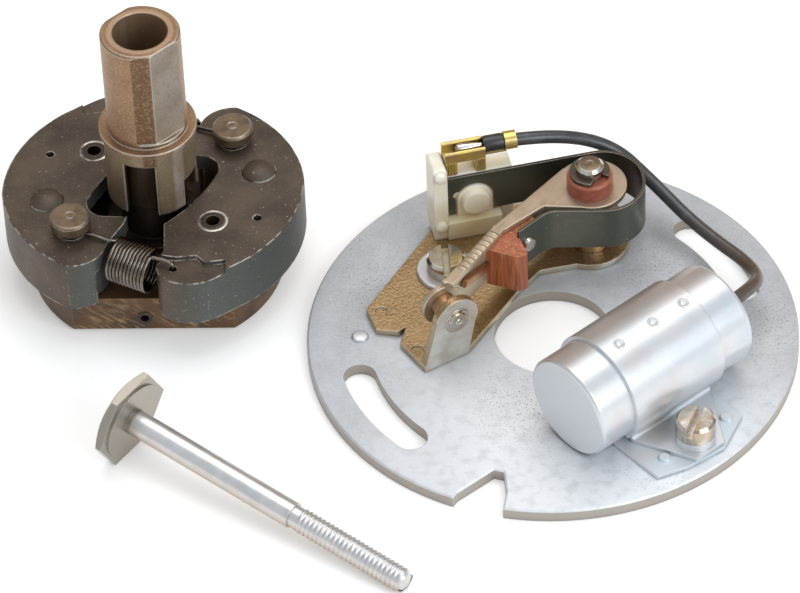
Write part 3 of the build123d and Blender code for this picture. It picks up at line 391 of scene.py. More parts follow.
def dull_zinc_plate(look):
    """Barrel zinc plate gone dull: pale grey clouds, a painted highlight in front, pits where damp sat, sheared
    edges.

    The grain and pits are drawn about three times too coarse, so that they show.
    """
    grain = look.patches(0.5, 0.3, 0.7, detail=2.0)
    pores = look.patches(0.4, 0.585, 0.655, 0.8, 3.0)
    damp = look.patches(14.0, 0.5, 0.75, 0.6)
    for spot, reach in DAMP_PLACES:
        damp = look.put("Math", {0: damp, 1: look.near(spot, reach)}, operation="MAXIMUM")
    pits = look.put("Math", {0: pores, 1: damp}, operation="MULTIPLY")
    layers = [
        (look.patches(11.0, 0.36, 0.66, detail=6.0), "zinc_light"),
        # painted highlight in front of the plate
        (look.near(PAINTED_HIGHLIGHT_PLACE, 54, 1.5), "zinc_painted_highlight"),
        (look.patches(2.4, 0.48, 0.68, 0.35, 5.0), "zinc_dark"),
        (look.put("MapRange", {0: grain, "To Max": 0.22}), "zinc_sparkle"),
        (pits, "zinc_pit"),
        (look.facing(UP, 0.5, 0.2, 0.85), "sheared"),
        # painted shade in corners
        (look.corners(1.6, 0.65), "corner_shade"),
    ]
    edge = (0.2, 0.5, "zinc_sparkle")
    return look.surface("zinc_dark", layers, edge, grain, 0.015, Metallic=0.3, Roughness=0.46)


def bright_zinc_plate(look, base="bright_zinc", metallic=0.65):
    """Bright zinc with a clear passivate: smooth, near white, faint blue and pink bloom, fine lines, and a painted
    warm reflection on its upper far side.
    """
    drawn = look.streaks(0.7, (0, 0, CAN_ANGLE), 0.35, 0.7)
    ripple = look.patches(2.2, 0.2, 0.8, detail=3.0)
    marks = look.patches(0.6, 0.72, 0.76, 0.4, 2.0)
    # painted warm reflection: the way the can's upper far side faces
    warm_reflection_way = level(CAN_ANGLE + math.pi / 2) * 0.96 + UP * 0.28
    closed_end = -level(CAN_ANGLE)
    layers = [
        (look.patches(9.0, 0.42, 0.68, 0.7), "bright_blue"),
        (look.patches(6.0, 0.5, 0.7, 0.6), "bright_pink"),
        # painted warm reflection on the can's upper far side
        (look.facing(warm_reflection_way, 0.1, 0.95, 0.5), "bright_painted_warm_reflection"),
        # painted highlight: the can's closed end painted lighter
        (look.facing(closed_end, 0.9, 0.97), "zinc_painted_highlight"),
        (marks, "zinc_dark"),
    ]
    edge = (0.2, 0.5, "zinc_sparkle")
    rough = look.put("MapRange", {0: drawn, "To Min": 0.3, "To Max": 0.35})
    return look.surface(base, layers, edge, ripple, 0.006, Metallic=metallic, Roughness=rough)


def bright_zinc_stamping(look):
    """Thin stamping in the same bright zinc, matt from the die: pale blue, with painted shade in its corners."""
    shader = bright_zinc_plate(look, "stamped_zinc", metallic=0.25)
    # painted shade in corners
    shader["Base Color"] = look.coats(shader["Base Color"], (look.corners(0.8, 0.6), "corner_shade"))
    return shader


def yellow_passivated_zinc(look):
    """Yellow-passivated zinc: muted gold, stippled grain, cream sheared edges, rubbed silver on the ear."""
    stipple = look.patches(0.5, 0.35, 0.68, detail=2.0)
    ear_front = level(EAR_ANGLE - math.pi / 2)
    smudge = look.patches(3.0, 0.35, 0.7, 0.5)
    layers = [
        (look.patches(5.0, 0.4, 0.66, 0.8, 5.0), "yellow_deep"),
        (look.put("MapRange", {0: stipple, "To Max": 0.55}), "yellow_pale"),
        (look.patches(0.6, 0.55, 0.68, 0.55, 2.0), "yellow_deep"),
        (look.facing(UP, 0.6, 0.2, 0.7), "cream_edge_and_highlight"),
        (look.facing(ear_front, 0.9, 0.97, 0.9), "silver_ear"),
        (smudge, "yellow_zinc"),
        # painted shade in corners
        (look.corners(1.0, 0.6), "corner_shade"),
    ]
    edge = (0.3, 0.8, "cream_edge_and_highlight")
    return look.surface("yellow_zinc", layers, edge, stipple, 0.025, Metallic=0.8, Roughness=0.34)


def oxide_sintered_steel(look):
    """Sintered steel under dark oxide: dull and grainy, a painted blue sky reflection on the right-front sides,
    pale specks, bright broken edges.
    """
    normal, edge = look.rounded_edge(0.4)
    sinter = look.patches(0.5, 0.25, 0.75, detail=3.0)
    broken = look.patches(1.8, 0.44, 0.56, 0.9)
    chips = look.put("Math", {0: edge, 1: broken}, operation="MULTIPLY")
    scratches = look.streaks(0.45, (0.0, 0.0, 0.9), 0.74, 0.77, 0.6, 0.12)
    tone = look.coats(
        "oxide",
        (look.patches(7.0, 0.4, 0.66, 0.85, 6.0), "oxide_dark"),
        # painted sky reflection on the right-front sides
        (look.facing((0.55, -0.8, 0.0), 0.35, 0.95, 0.8), "oxide_painted_sky_reflection"),
        (look.patches(0.5, 0.58, 0.75, 0.35, 2.0), "post"),
        (look.patches(0.45, 0.71, 0.75, 0.7, 2.0), "bare_steel"),
        (scratches, "post"),
        (chips, "bare_steel"),
    )
    bump = look.put("Bump", {"Height": sinter, "Distance": 0.02 * MM, "Normal": normal})
    return {"Base Color": tone, "Metallic": 0.35, "Roughness": 0.48, "Normal": bump}


def brown_oxide_machined_steel(look):
    """Machined steel under brown oxide: slanting cutter marks on the flats, oily patches, bright specks."""
    cuts = look.streaks(0.45, (0.0, 0.6, 0.12), 0.5, 0.64, 0.75, 0.05)
    front = look.facing((0, -1, 0), 0.95, 0.99)
    worn = look.patches(9.0, 0.38, 0.52)
    milled = look.put("Math", {0: front, 1: worn}, operation="MULTIPLY")
    cutter = look.put("Math", {0: cuts, 1: milled}, operation="MULTIPLY")
    layers = [
        (look.patches(5.0, 0.42, 0.66, 0.8, 5.0), "oxide_dark"),
        (cutter, "brown_cut"),
        (look.patches(0.5, 0.735, 0.76, 0.6, 2.0), "bare_steel"),
    ]
    edge = (0.25, 0.5, "brown_cut")
    return look.surface("brown_oxide", layers, edge, cutter, 0.02, Metallic=0.4, Roughness=0.45)


def tempered_cam_steel(look):
    """Hardened cam steel, tempered bronze: peppered grain, ground grey flats, dull sleeve, worn edges lightened
    also as painted highlight, painted light round the bore, and oil with painted shade darkening the sleeve's slot
    and the foot.
    """
    normal, edge = look.rounded_edge(0.45, 0.9)
    collar_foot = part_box("cam")[1].z - (CAM_LENGTH + COLLAR_HEIGHT) * MM
    sleeve_foot = collar_foot - SLEEVE_LENGTH * MM
    tooth = look.patches(0.45, 0.25, 0.75, detail=2.0)
    flat, back, ramp = (
        look.facing(level(angle), 0.985, 0.995, 0.9)
        for angle in (CAM_FLAT_ANGLE, CAM_FLAT_ANGLE + math.pi, CAM_RAMP_ANGLE)
    )
    level_place = look.put("Mapping", {"Vector": look.place, "Scale": (1.0, 1.0, 0.0)})
    axis = joint_place("cam_turn")
    axis.z = 0.0
    gap = look.put("VectorMath", {0: level_place, 1: axis}, "Value", operation="DISTANCE")
    # painted light on the bore wall, and the sleeve's inside for painted shade
    bore, inside = (
        look.put("MapRange", {0: gap, "From Min": outer * MM, "From Max": inner * MM, "To Max": most})
        for (outer, inner), most in ((BORE_RIM, 0.75), (SLEEVE_INSIDE, 1.0))
    )
    # painted shade: masks of the foot below the sleeve and of the sleeve's slot
    sleeve, foot = (
        look.put("Math", {0: most, 1: look.above(top, most)}, operation="SUBTRACT")
        for top, most in ((collar_foot, 0.9), (sleeve_foot, 0.92))
    )
    slot = look.put("Math", {0: inside, 1: sleeve}, operation="MULTIPLY")
    tone = look.coats(
        "cam_bronze",
        (sleeve, "cam_sleeve"),
        (flat, "cam_flat"),
        (back, "cam_flat"),
        (ramp, "cam_dark"),
        (look.patches(6.0, 0.42, 0.68, 0.4, 5.0), "cam_dark"),
        (look.patches(0.4, 0.5, 0.7, 0.5, 2.0), "cam_light"),
        (look.patches(0.45, 0.58, 0.7, 0.4, 2.0), "cam_dark"),
        # worn edges, lightened also as a painted highlight
        (edge, "bare_steel"),
        # painted light round the bore
        (bore, "cam_light"),
        # painted shade in corners
        (look.corners(1.5, 0.6), "corner_shade"),
        # painted shade inside the sleeve's slot and on the foot
        (slot, "oil_and_painted_shade"),
        (foot, "oil_and_painted_shade"),
    )
    bump = look.put("Bump", {"Height": tooth, "Distance": 0.015 * MM, "Normal": normal})
    return {"Base Color": tone, "Metallic": 0.7, "Roughness": 0.4, "Normal": bump}


def tempered_spring_strip(look):
    """Tempered spring strip: dark olive, blue-green temper in patches and a painted blue-green sheen on its front
    faces, satin, pale sheared edges lightened also as painted highlight, and dust specks.
    """
    layers = [
        # painted sheen on the faces that look to the front
        (look.facing((0.5, -0.85, 0.0), 0.3, 0.9, 0.9), "blued_temper_and_painted_sheen"),
        (look.patches(6.0, 0.45, 0.7, 0.5), "blued_temper_and_painted_sheen"),
        (look.patches(0.5, 0.735, 0.76, 0.7, 2.0), "bare_steel"),
    ]
    edge = (0.12, 0.75, "bare_steel")
    rolled = look.streaks(0.5, (0.0, 0.0, 0.2), 0.35, 0.65)
    rough = look.put("MapRange", {0: rolled, "To Min": 0.3, "To Max": 0.42})
    return look.surface("blued", layers, edge, Metallic=0.8, Roughness=rough)


def worn_metal(look, base, patch, roughness, edge_share, metallic):
    """Bare or plated metal with soft patches of a second tone, a fine tooth, worn edges lightened also as painted
    highlight, and painted shade in corners.
    """
    tooth = look.patches(0.6, 0.25, 0.75, detail=3.0)
    layers = [
        (look.patches(2.2, 0.42, 0.66, 0.8, 5.0), patch),
        (look.patches(0.5, 0.72, 0.76, 0.5, 2.0), "bare_steel"),
        # painted shade in corners
        (look.corners(0.9, 0.85), "corner_shade"),
    ]
    edge = (0.15, edge_share, "bare_steel")
    return look.surface(base, layers, edge, tooth, 0.004, Metallic=metallic, Roughness=roughness)


def turned_polished_steel(look):
    """Turned screw steel, polished: mirror-like with straw-coloured patches."""
    return worn_metal(look, "turned", "turned_tan", roughness=0.16, edge_share=0.6, metallic=1.0)


def zinc_plated_bolt_steel(look):
    """Headed bolt in bright zinc: smooth silver, a painted tan reflection along its lower side, the head a duller
    grey.
    """
    shank = mount("bolt_shank")
    way = Vector(shank["axis"])
    start = way.dot(Vector(shank["pos_m"])) - shank["dims"]["length_mm"] / 2 * MM
    along = look.put("VectorMath", {0: look.place, 1: way}, "Value", operation="DOT_PRODUCT")
    ends = {"From Min": start + 1.0 * MM, "From Max": start + 0.5 * MM}
    head = look.put("MapRange", {0: along, **ends})
    layers = [
        (look.patches(2.2, 0.42, 0.66, 0.25, 5.0), "plated_grey"),
        # painted tan reflection on the downward faces
        (look.facing((-0.3, -0.4, -0.87), -0.1, 0.8, 0.8), "plated_painted_tan_reflection"),
        (head, "plated_head"),
        # painted shade in corners
        (look.corners(0.9, 0.85), "corner_shade"),
    ]
    edge = (0.15, 0.4, "bare_steel")
    tooth = look.patches(0.6, 0.25, 0.75, detail=3.0)
    return look.surface("plated_bolt", layers, edge, tooth, 0.003, Metallic=0.8, Roughness=0.3)


def oiled_spindle_steel(look):
    """Ground spindle under oil, darkened as painted shade: dark brown with a wet shine."""
    return worn_metal(look, "oil_and_painted_shade", "oxide_dark", roughness=0.3, edge_share=0.0, metallic=0.5)


def worn_post_steel(look):
    """Worn post steel: silver where it is handled and as painted highlight on its rim, tan where the oxide is
    left.
    """
    return worn_metal(look, "post", "oxide", roughness=0.36, edge_share=0.9, metallic=0.7)


def rolled_pin_steel(look):
    """Rolled spring pin: dark, with a broken bright rim."""
    return worn_metal(look, "pin", "oxide_dark", roughness=0.4, edge_share=0.3, metallic=0.6)


def chipped_steel(look):
    """Upset rim with its oxide rubbed off in places: bright and dark by turns."""
    return worn_metal(look, "bare_steel", "oxide_dark", roughness=0.3, edge_share=0.0, metallic=0.6)


def drawn_spring_wire(look):
    """Cold-drawn spring wire: dark and smooth with bright rubbed crowns."""
    return worn_metal(look, "wire", "oxide", roughness=0.2, edge_share=0.0, metallic=1.0)


def pressed_plated_steel(look):
    """Pressed arm, flash-plated: tan with pinkish rubbed patches, fine cross scratches, and pale sides and worn
    edges lightened as painted highlight.
    """
    scratches = look.streaks(0.35, (0.0, 0.0, 0.75), 0.62, 0.7, 0.5, 0.08)
    layers = [
        (look.patches(3.0, 0.4, 0.66, 0.8, 5.0), "arm_pink"),
        (scratches, "cam_dark"),
        (look.patches(0.5, 0.72, 0.76, 0.5, 2.0), "bare_steel"),
        # painted highlight on the arm's sides
        (look.facing(UP, 0.96, 0.6, 0.6), "cream_edge_and_highlight"),
        # painted shade in corners
        (look.corners(0.9, 0.6), "corner_shade"),
    ]
    # worn edges, lightened also as painted highlight
    edge = (0.35, 0.9, "cream_edge_and_highlight")
    return look.surface("arm", layers, edge, scratches, -0.01, Metallic=0.75, Roughness=0.36)


def rolled_copper(look):
    """Rolled copper, browned in patches."""
    return worn_metal(look, "copper", "turned_tan", roughness=0.3, edge_share=0.4, metallic=1.0)


def stamped_brass(look):
    """Stamped brass: yellow, worn bright and with painted highlight on the bends, dulled in patches."""
    return worn_metal(look, "brass", "yellow_pale", roughness=0.26, edge_share=0.4, metallic=0.75)


def tinned_wire(look):
    """Tinned strands run together with solder."""
    return worn_metal(look, "tinned", "arm_pink", roughness=0.2, edge_share=0.0, metallic=1.0)


def sawn_bonded_fibre(look):
    """Resin-bonded fibre, sawn across its layers: orange-brown, dark upright lines and fuzzy pale edges."""
    lines = look.streaks(0.4, (0.0, math.pi / 2, 0.0), 0.4, 0.66, 0.85, 0.06)
    raised = look.streaks(0.5, (0.0, math.pi / 2, 0.0), 0.55, 0.7, 0.7, 0.08)
    layers = [(lines, "fibre_dark"), (raised, "fibre_light")]
    edge = (0.25, 0.6, "fibre_light")
    return look.surface("fibre", layers, edge, lines, -0.03, Roughness=0.45, IOR=1.54)


def turned_fibre(look):
    """Turned fibre: dull red-brown, waxed smooth."""
    layers = [(look.patches(1.2, 0.42, 0.66, 0.7), "fibre_dark")]
    edge = (0.3, 0.5, "fibre_light")
    return look.surface("bush", layers, edge, Roughness=0.32, IOR=1.54)


def moulded_nylon(look):
    """Natural nylon, moulded: cream, soft-edged and slightly see-through, deeper in patches, with a painted gold
    reflection towards its foot.
    """
    normal, _ = look.rounded_edge(0.4)
    tone = look.coats(
        "nylon",
        (look.patches(4.0, 0.4, 0.7, 0.4), "nylon_deep_and_gold_reflection"),
        # painted gold reflection towards the foot
        (look.near(NYLON_FOOT, 10, 1.2), "nylon_deep_and_gold_reflection"),
    )
    return {
        "Base Color": tone,
        "Roughness": 0.3,
        "IOR": 1.53,
        "Normal": normal,
        "Subsurface Weight": 0.5,
        "Subsurface Radius": (2.0 * MM, 1.6 * MM, 1.0 * MM),
        "Subsurface Scale": 1.0,
    }


def soft_sleeve(look, base, dust, roughness):
    """Vinyl or rubber: dark, with dusty patches, painted pale glints and a faint tooth."""
    tooth = look.patches(0.5, 0.3, 0.7, detail=3.0)
    tone = look.coats(
        base,
        (look.patches(1.6, 0.45, 0.75, 0.45, 5.0), dust),
        # painted glints: pale specks
        (look.patches(0.5, 0.73, 0.76, 0.5, 2.0), "silver_ear"),
    )
    bump = look.put("Bump", {"Height": tooth, "Distance": 0.01 * MM})
    return {"Base Color": tone, "Roughness": roughness, "IOR": 1.52, "Normal": bump}


def extruded_vinyl(look):
    """Extruded vinyl: dark grey with a soft gloss."""
    worn = look.near(BROWNED_BEND, 22)
    base = look.coats("vinyl", (worn, "vinyl_brown"))
    return soft_sleeve(look, base, "vinyl_dust", roughness=0.28)


def moulded_rubber(look):
    """Moulded rubber: near black, dull."""
    return soft_sleeve(look, "rubber", "rubber_dust", roughness=0.34)


def finish(recipe):
    """The finish that a recipe makes, named for it and made the first time it is asked for."""
    name = recipe.__name__.capitalize()
    material = bpy.data.materials.get(name)
    if material is None:
        material = bpy.data.materials.new(name)
        look = Look(material, bpy.context.scene.ignition_finishes)
        shader = look.put("BsdfPrincipled", recipe(look))
        look.put("OutputMaterial", {"Surface": shader})
    return material


def dress(recipe, *nodes):
    """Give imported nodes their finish."""
    for node in nodes:
        materials = frame["nodes"][node].data.materials
        materials.clear()
        materials.append(finish(recipe))


def add_piece(name, mesh, recipe, slot, body=None, crease=18):
    """Add a mesh to the scene with its finish, sharp at a crease in degrees, riding on a body; the slot is not
    used.
    """
    piece = bpy.data.objects.new(name, mesh)
    bpy.context.scene.collection.objects.link(piece)
    mesh.materials.append(finish(recipe))
    for polygon in mesh.polygons:
        polygon.use_smooth = True
    mesh.set_sharp_from_angle(angle=math.radians(crease))
    if body:
        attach(piece, body)
    return piece


def joint_place(name):
    """Where a joint of the frame stands."""
    return Vector(next(joint["pos_m"] for joint in frame["joints"] if joint["name"] == name))


def mount(name):
    """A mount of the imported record."""
    return next(item for item in frame["record"]["mounts"] if item["name"] == name)


def level(angle):
    """Level way at an angle about +Z."""
    return Vector((math.cos(angle), math.sin(angle), 0.0))


def to_mesh(name, work):
    """Turn a finished bmesh into a mesh with its faces looking outwards."""
    bmesh.ops.recalc_face_normals(work, faces=work.faces)
    mesh = bpy.data.meshes.new(name)
    work.to_mesh(mesh)
    work.free()
    return mesh


def loft(name, rings, joined=False):
    """Mesh with walls from ring to ring of points, closed at its ends or joined from last to first."""
    work = bmesh.new()
    rings = [[work.verts.new(point) for point in ring] for ring in rings]
    for low, high in zip(rings, rings[1:] + rings[:1] if joined else rings[1:]):
        for k in range(max(len(low), len(high))):
            after = k + 1
            wall = (low[k % len(low)], low[after % len(low)], high[after % len(high)], high[k % len(high)])
            work.faces.new(dict.fromkeys(wall))
    for ring in () if joined else (rings[0], rings[-1]):
        if len(ring) > 2:
            work.faces.new(ring)
    return to_mesh(name, work)


def lathe(name, profile, place, way, sides=40):
    """Turned mesh from points of radius and height in millimetres, standing at a place along a way.

    A profile that comes back to its first point is a ring with a hole.
    """
    home = Matrix.Translation(place) @ Vector(way).to_track_quat("Z", "Y").to_matrix().to_4x4()
    ring_shaped = profile[0] == profile[-1]
    rings = []
    for radius, height in profile[:-1] if ring_shaped else profile:
        turns = sides if radius else 1
        spots = [level(2 * math.pi * k / sides) * radius * MM + UP * (height * MM) for k in range(turns)]
        rings.append([home @ spot for spot in spots])
    return loft(name, rings, ring_shaped)


def tube(name, path, radius, sides=8):
    """Round tube along the points of a line."""
    rings = []
    across = None
    for index, point in enumerate(path):
        ahead = (path[min(index + 1, len(path) - 1)] - path[max(index - 1, 0)]).normalized()
        across = ahead.orthogonal() if across is None else across
        across = (across - ahead * across.dot(ahead)).normalized()
        up = ahead.cross(across)
        turns = [2 * math.pi * k / sides for k in range(sides)]
        ways = [across * math.cos(turn) + up * math.sin(turn) for turn in turns]
        rings.append([point + way * radius for way in ways])
    return loft(name, rings)


def add_turned(name, profile, place, way, *look, crease=18, sides=40):
    """Turn a piece from its profile and add it with its finish and body; the slot in its look is not used."""
    return add_piece(name, lathe(name, profile, place, way, sides), *look, crease)


def at_stud(along, back, height):
    """Point by the terminal's stud: millimetres along and behind the spring's tail, and metres up."""
    spot = Vector((*STUD_PLACE, 0.0)) + level(TAIL_ANGLE) * along + level(TAIL_ANGLE + math.pi / 2) * back
    return spot * MM + UP * height


def smooth_line(points, steps):
    """Points along the NURBS line that the control points pull."""
    curve = bpy.data.curves.new("line", "CURVE")
    curve.dimensions = "3D"
    spline = curve.splines.new("NURBS")
    spline.points.add(len(points) - 1)
    for point, place in zip(spline.points, points):
        point.co = (*place, 1.0)
    spline.order_u = 3
    spline.use_endpoint_u = True
    spline.resolution_u = steps
    holder = bpy.data.objects.new("line", curve)
    bpy.context.scene.collection.objects.link(holder)
    line = bpy.data.meshes.new_from_object(holder.evaluated_get(bpy.context.evaluated_depsgraph_get()))
    path = [vertex.co.copy() for vertex in line.vertices]
    bpy.data.objects.remove(holder)
    bpy.data.meshes.remove(line)
    bpy.data.curves.remove(curve)
    return path


class IGNITION_OT_breaker_plate(bpy.types.Operator):
    """Give the breaker plate its dull zinc and the bright face of its pip."""

    bl_idname = "ignition.breaker_plate"
    bl_label = "Breaker Plate"

    def execute(self, context):
        dress(dull_zinc_plate, "breaker_plate")
        place = Vector((*PIP_PLACE, 0.0)) * MM
        place.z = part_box("breaker_plate")[1].z
        dome = [(1.5, -0.35), (1.45, -0.1), (1.2, 0.06), (0.6, 0.12), (0, 0.14)]
        add_turned("pip_face", dome, place, UP, bright_zinc_plate, "bright_zinc", "points_plate")
        return {"FINISHED"}


class IGNITION_OT_contact_bracket(bpy.types.Operator):
    """Finish the contact bracket, its pivot, contacts and lock screw."""

    bl_idname = "ignition.contact_bracket"
    bl_label = "Contact Bracket"

    def execute(self, context):
        dress(yellow_passivated_zinc, "contact_bracket")
        dress(turned_polished_steel, "fixed_contact", "pivot_post", "lock_screw")
        dress(bright_zinc_plate, "lock_screw_washer")
        dress(tempered_spring_strip, "pivot_clip")

        pivot = joint_place("arm_pivot")
        top = Vector((pivot.x, pivot.y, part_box("pivot_post")[1].z))
        turned = [(1.95, -0.1), (1.9, 0.1), (1.6, 0.16), (0.7, 0.16), (0.6, 0.08), (0.3, 0.06), (0, 0.1)]
        add_turned("pivot_face", turned, top, UP, worn_post_steel, "bright_zinc", "contact_set")

        eye = pivot + Vector((*EAR_FOOT, 0.0)) * MM + level(EAR_ANGLE) * EYE_REACH * MM
        eye.z = EYE_HEIGHT * MM
        front = level(EAR_ANGLE - math.pi / 2)
        look = (turned_polished_steel, "bright_zinc", "contact_set")
        upset = [(1.85, -0.1), (2.5, -0.1), (2.5, 0.08), (2.35, 0.16), (2.05, 0.1), (1.85, 0.14)]
        add_turned("contact_upset", upset + upset[:1], eye, front, *look)
        nipple = [(0.75, 0.2), (0.75, 0.52), (0.6, 0.66), (0.35, 0.72), (0.2, 0.62), (0, 0.6)]
        add_turned("contact_nipple", nipple, eye, front, *look)
        return {"FINISHED"}


class IGNITION_OT_breaker_arm(bpy.types.Operator):
    """Finish the breaker arm with its ribs, bush, rubbing block, contact and conductor strip."""

    bl_idname = "ignition.breaker_arm"
    bl_label = "Breaker Arm"

    def execute(self, context):
        dress(pressed_plated_steel, "breaker_arm")
        dress(turned_fibre, "pivot_bush")
        dress(sawn_bonded_fibre, "rubbing_block")
        dress(rolled_copper, "conductor_strip", "moving_contact")
        dress(turned_polished_steel, "spring_rivet")
        mesh = self.ribs(context.scene.ignition_details)
        add_piece("flange_ribs", mesh, pressed_plated_steel, "pressed_steel", "breaker_arm_group", 50)
        return {"FINISHED"}

    def ribs(self, sizes):
        """Cross ribs pressed in the arm's flange, as one rippled strip."""
        pivot = joint_place("arm_pivot")
        start = pivot + Vector((*WEB_START, 0.0)) * MM + level(WEB_ANGLE) * RIB_RUN_IN * MM
        start.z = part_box("breaker_arm")[1].z
        across = level(WEB_ANGLE + math.pi / 2)
        half = RIB_HALF_WIDTH * MM
        under = -0.1 * MM
        steps = 8
        rings = []
        for step in range(RIBS * steps + 1):
            rise = sizes.rib_height * (0.5 - 0.5 * math.cos(2 * math.pi * step / steps))
            spot = start + level(WEB_ANGLE) * (sizes.rib_pitch * step / steps)
            flank = [(half, under), (half, rise * 0.4), (half * 0.7, rise)]
            section = [(-side, up) for side, up in flank] + flank[::-1]
            rings.append([spot + across * side + UP * up for side, up in section])
        return loft("flange_ribs", rings)


class IGNITION_OT_leaf_spring(bpy.types.Operator):
    """Copy the leaf spring between the terminal and the arm, cut into slices, and hide the imported one."""

    bl_idname = "ignition.leaf_spring"
    bl_label = "Leaf Spring"

    def execute(self, context):
        low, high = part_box("breaker_spring")
        work = bmesh.new()
        work.from_mesh(frame["nodes"]["breaker_spring"].data)
        bmesh.ops.remove_doubles(work, verts=work.verts, dist=0.001 * MM)
        for step in range(1, SPRING_SLICES):
            cut = low.lerp(high, step / SPRING_SLICES)
            for normal in ((1, 0, 0), (0, 1, 0)):
                everything = work.verts[:] + work.edges[:] + work.faces[:]
                bmesh.ops.bisect_plane(work, geom=everything, plane_co=cut, plane_no=normal)
        mesh = to_mesh("leaf_spring", work)
        spring = add_piece("leaf_spring", mesh, tempered_spring_strip, "blued_spring_steel")
        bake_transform(spring)
        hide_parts("breaker_spring")
        return {"FINISHED"}


class IGNITION_OT_terminal(bpy.types.Operator):
    """Finish the nylon terminal block, and give its brass rails, ribbed legs and the soldered wire."""

    bl_idname = "ignition.terminal"
    bl_label = "Terminal"

    def execute(self, context):
        dress(moulded_nylon, "terminal_block")
        dress(stamped_brass, "terminal_clip", "lead_crimp")
        low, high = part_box("terminal_clip")
        rods = []
        for back in (0.5, 3.4):
            ends = [at_stud(along, back, high.z) for along in (-5.1, 2.3)]
            rods.append((f"clip_rail_{len(rods)}", ends, 0.42))
        for leg, half in ((-4.0, 0.75), (1.4, 0.6)):
            for share in (-1.0, -0.33, 0.33, 1.0):
                along = leg + half * share
                ends = [at_stud(along, 0.25, height) for height in (low.z, high.z - CLIP_DEPTH * MM)]
                rods.append((f"clip_rib_{len(rods)}", ends, 0.2))
        for name, ends, radius in rods:
            add_piece(name, tube(name, ends, radius * MM, 12), stamped_brass, "brass", "contact_set", 40)

        peg = [(1.15, -0.3), (1.15, 0.5), (1.0, 0.8), (0.6, 0.98), (0, 1.05)]
        look = (moulded_nylon, "nylon", "contact_set")
        for name, height in (("terminal_peg_top", 18.8), ("terminal_peg_foot", 6.9)):
            place = at_stud(-6.5, -1.6, height * MM)
            add_turned(name, peg, place, -level(TAIL_ANGLE + math.pi / 2), *look, crease=40)

        lead_level = LEAD_ROUTE[0][2] * MM
        wire = [(0.5, 1.0), (0.5, 0.0), (0.75, -1.6), (0.95, -3.6), (0.9, -4.4), (0.5, -4.8), (0, -4.9)]
        look = (tinned_wire, "bright_zinc", "contact_set")
        add_turned("wire_end", wire, at_stud(2.0, 1.95, lead_level), level(TAIL_ANGLE), *look)
        boot = [(1.2, -0.2), (1.45, -0.2), (1.55, 0.3), (1.55, 3.1), (1.45, 3.5), (1.2, 3.5), (1.2, -0.2)]
        look = (moulded_rubber, "seal_rubber", "contact_set")
        add_turned("wire_boot", boot, at_stud(2.4, 1.95, lead_level), level(TAIL_ANGLE), *look)
        return {"FINISHED"}


class IGNITION_OT_condenser(bpy.types.Operator):
    """Finish the condenser, its strap with three spot welds, its seat and its screw."""

    bl_idname = "ignition.condenser"
    bl_label = "Condenser"

    def execute(self, context):
        dress(bright_zinc_plate, "condenser_can", "condenser_strap", "condenser_lock_washer")
        dress(bright_zinc_stamping, "condenser_seat")
        dress(turned_polished_steel, "condenser_screw")
        dress(moulded_rubber, "condenser_seal")
        front = Vector(CAN_FRONT) * MM
        along = level(CAN_ANGLE)
        bush = [(1.1, -0.4), (2.1, -0.4), (2.1, 2.9), (1.9, 3.6), (1.5, 3.9), (1.1, 3.9), (1.1, -0.4)]
        place = front + along * CAN_LENGTH * MM
        look = (moulded_rubber, "seal_rubber", "points_plate")
        add_turned("lead_bush", bush, place, along, *look, crease=40)

        out = level(CAN_ANGLE - math.pi / 2) * math.sin(WELD_LEAN) + UP * math.cos(WELD_LEAN)
        weld = [(1.0, -0.1), (1.0, 0.06), (0.8, 0.16), (0.6, 0.06), (0.4, -0.02), (0.2, 0.04), (0, 0.06)]
        size = context.scene.ignition_details.weld_radius / MM
        ring = [(share * size, height) for share, height in weld]
        look = (bright_zinc_plate, "bright_zinc", "points_plate")
        for number, reach in enumerate(WELD_REACHES):
            place = front + along * reach * MM + out * STRAP_RADIUS * MM
            add_turned(f"spot_weld_{number}", ring, place, out, *look, sides=28)
        return {"FINISHED"}


class IGNITION_OT_lead(bpy.types.Operator):
    """Run the lead from the terminal to the condenser."""

    bl_idname = "ignition.lead"
    bl_label = "Lead"

    def execute(self, context):
        diameter = context.scene.ignition_details.lead
        route = [Vector(point) * MM for point in LEAD_ROUTE]
        path = smooth_line(route, 16)
        mesh = tube("condenser_sleeve", path, diameter / 2, 20)
        lead = add_piece("condenser_sleeve", mesh, extruded_vinyl, "lead_sleeve", crease=40)
        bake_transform(lead)
        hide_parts("condenser_lead")
        return {"FINISHED"}


class IGNITION_OT_advance_base(bpy.types.Operator):
    """Finish the advance unit's base, spindle and posts."""

    bl_idname = "ignition.advance_base"
    bl_label = "Advance Base"

    def execute(self, context):
        dress(brown_oxide_machined_steel, "advance_base")
        dress(worn_post_steel, "weight_posts")
        dress(rolled_pin_steel, "base_roll_pin")
        dress(oiled_spindle_steel, "spindle")
        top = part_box("weight_posts")[1].z
        rim = [(3.3, -0.1), (3.28, 0.04), (3.1, 0.12)]
        centre_mark = [(1.0, 0.12), (0.92, 0.02), (0.72, 0.02), (0.62, 0.12), (0, 0.12)]
        look = (worn_post_steel, "oxide_steel", "advance_carrier")
        for side in ("right", "left"):
            place = joint_place(f"weight_{side}_swing")
            place.z = top
            add_turned(f"post_face_{side}", rim + centre_mark, place, UP, *look)
        return {"FINISHED"}


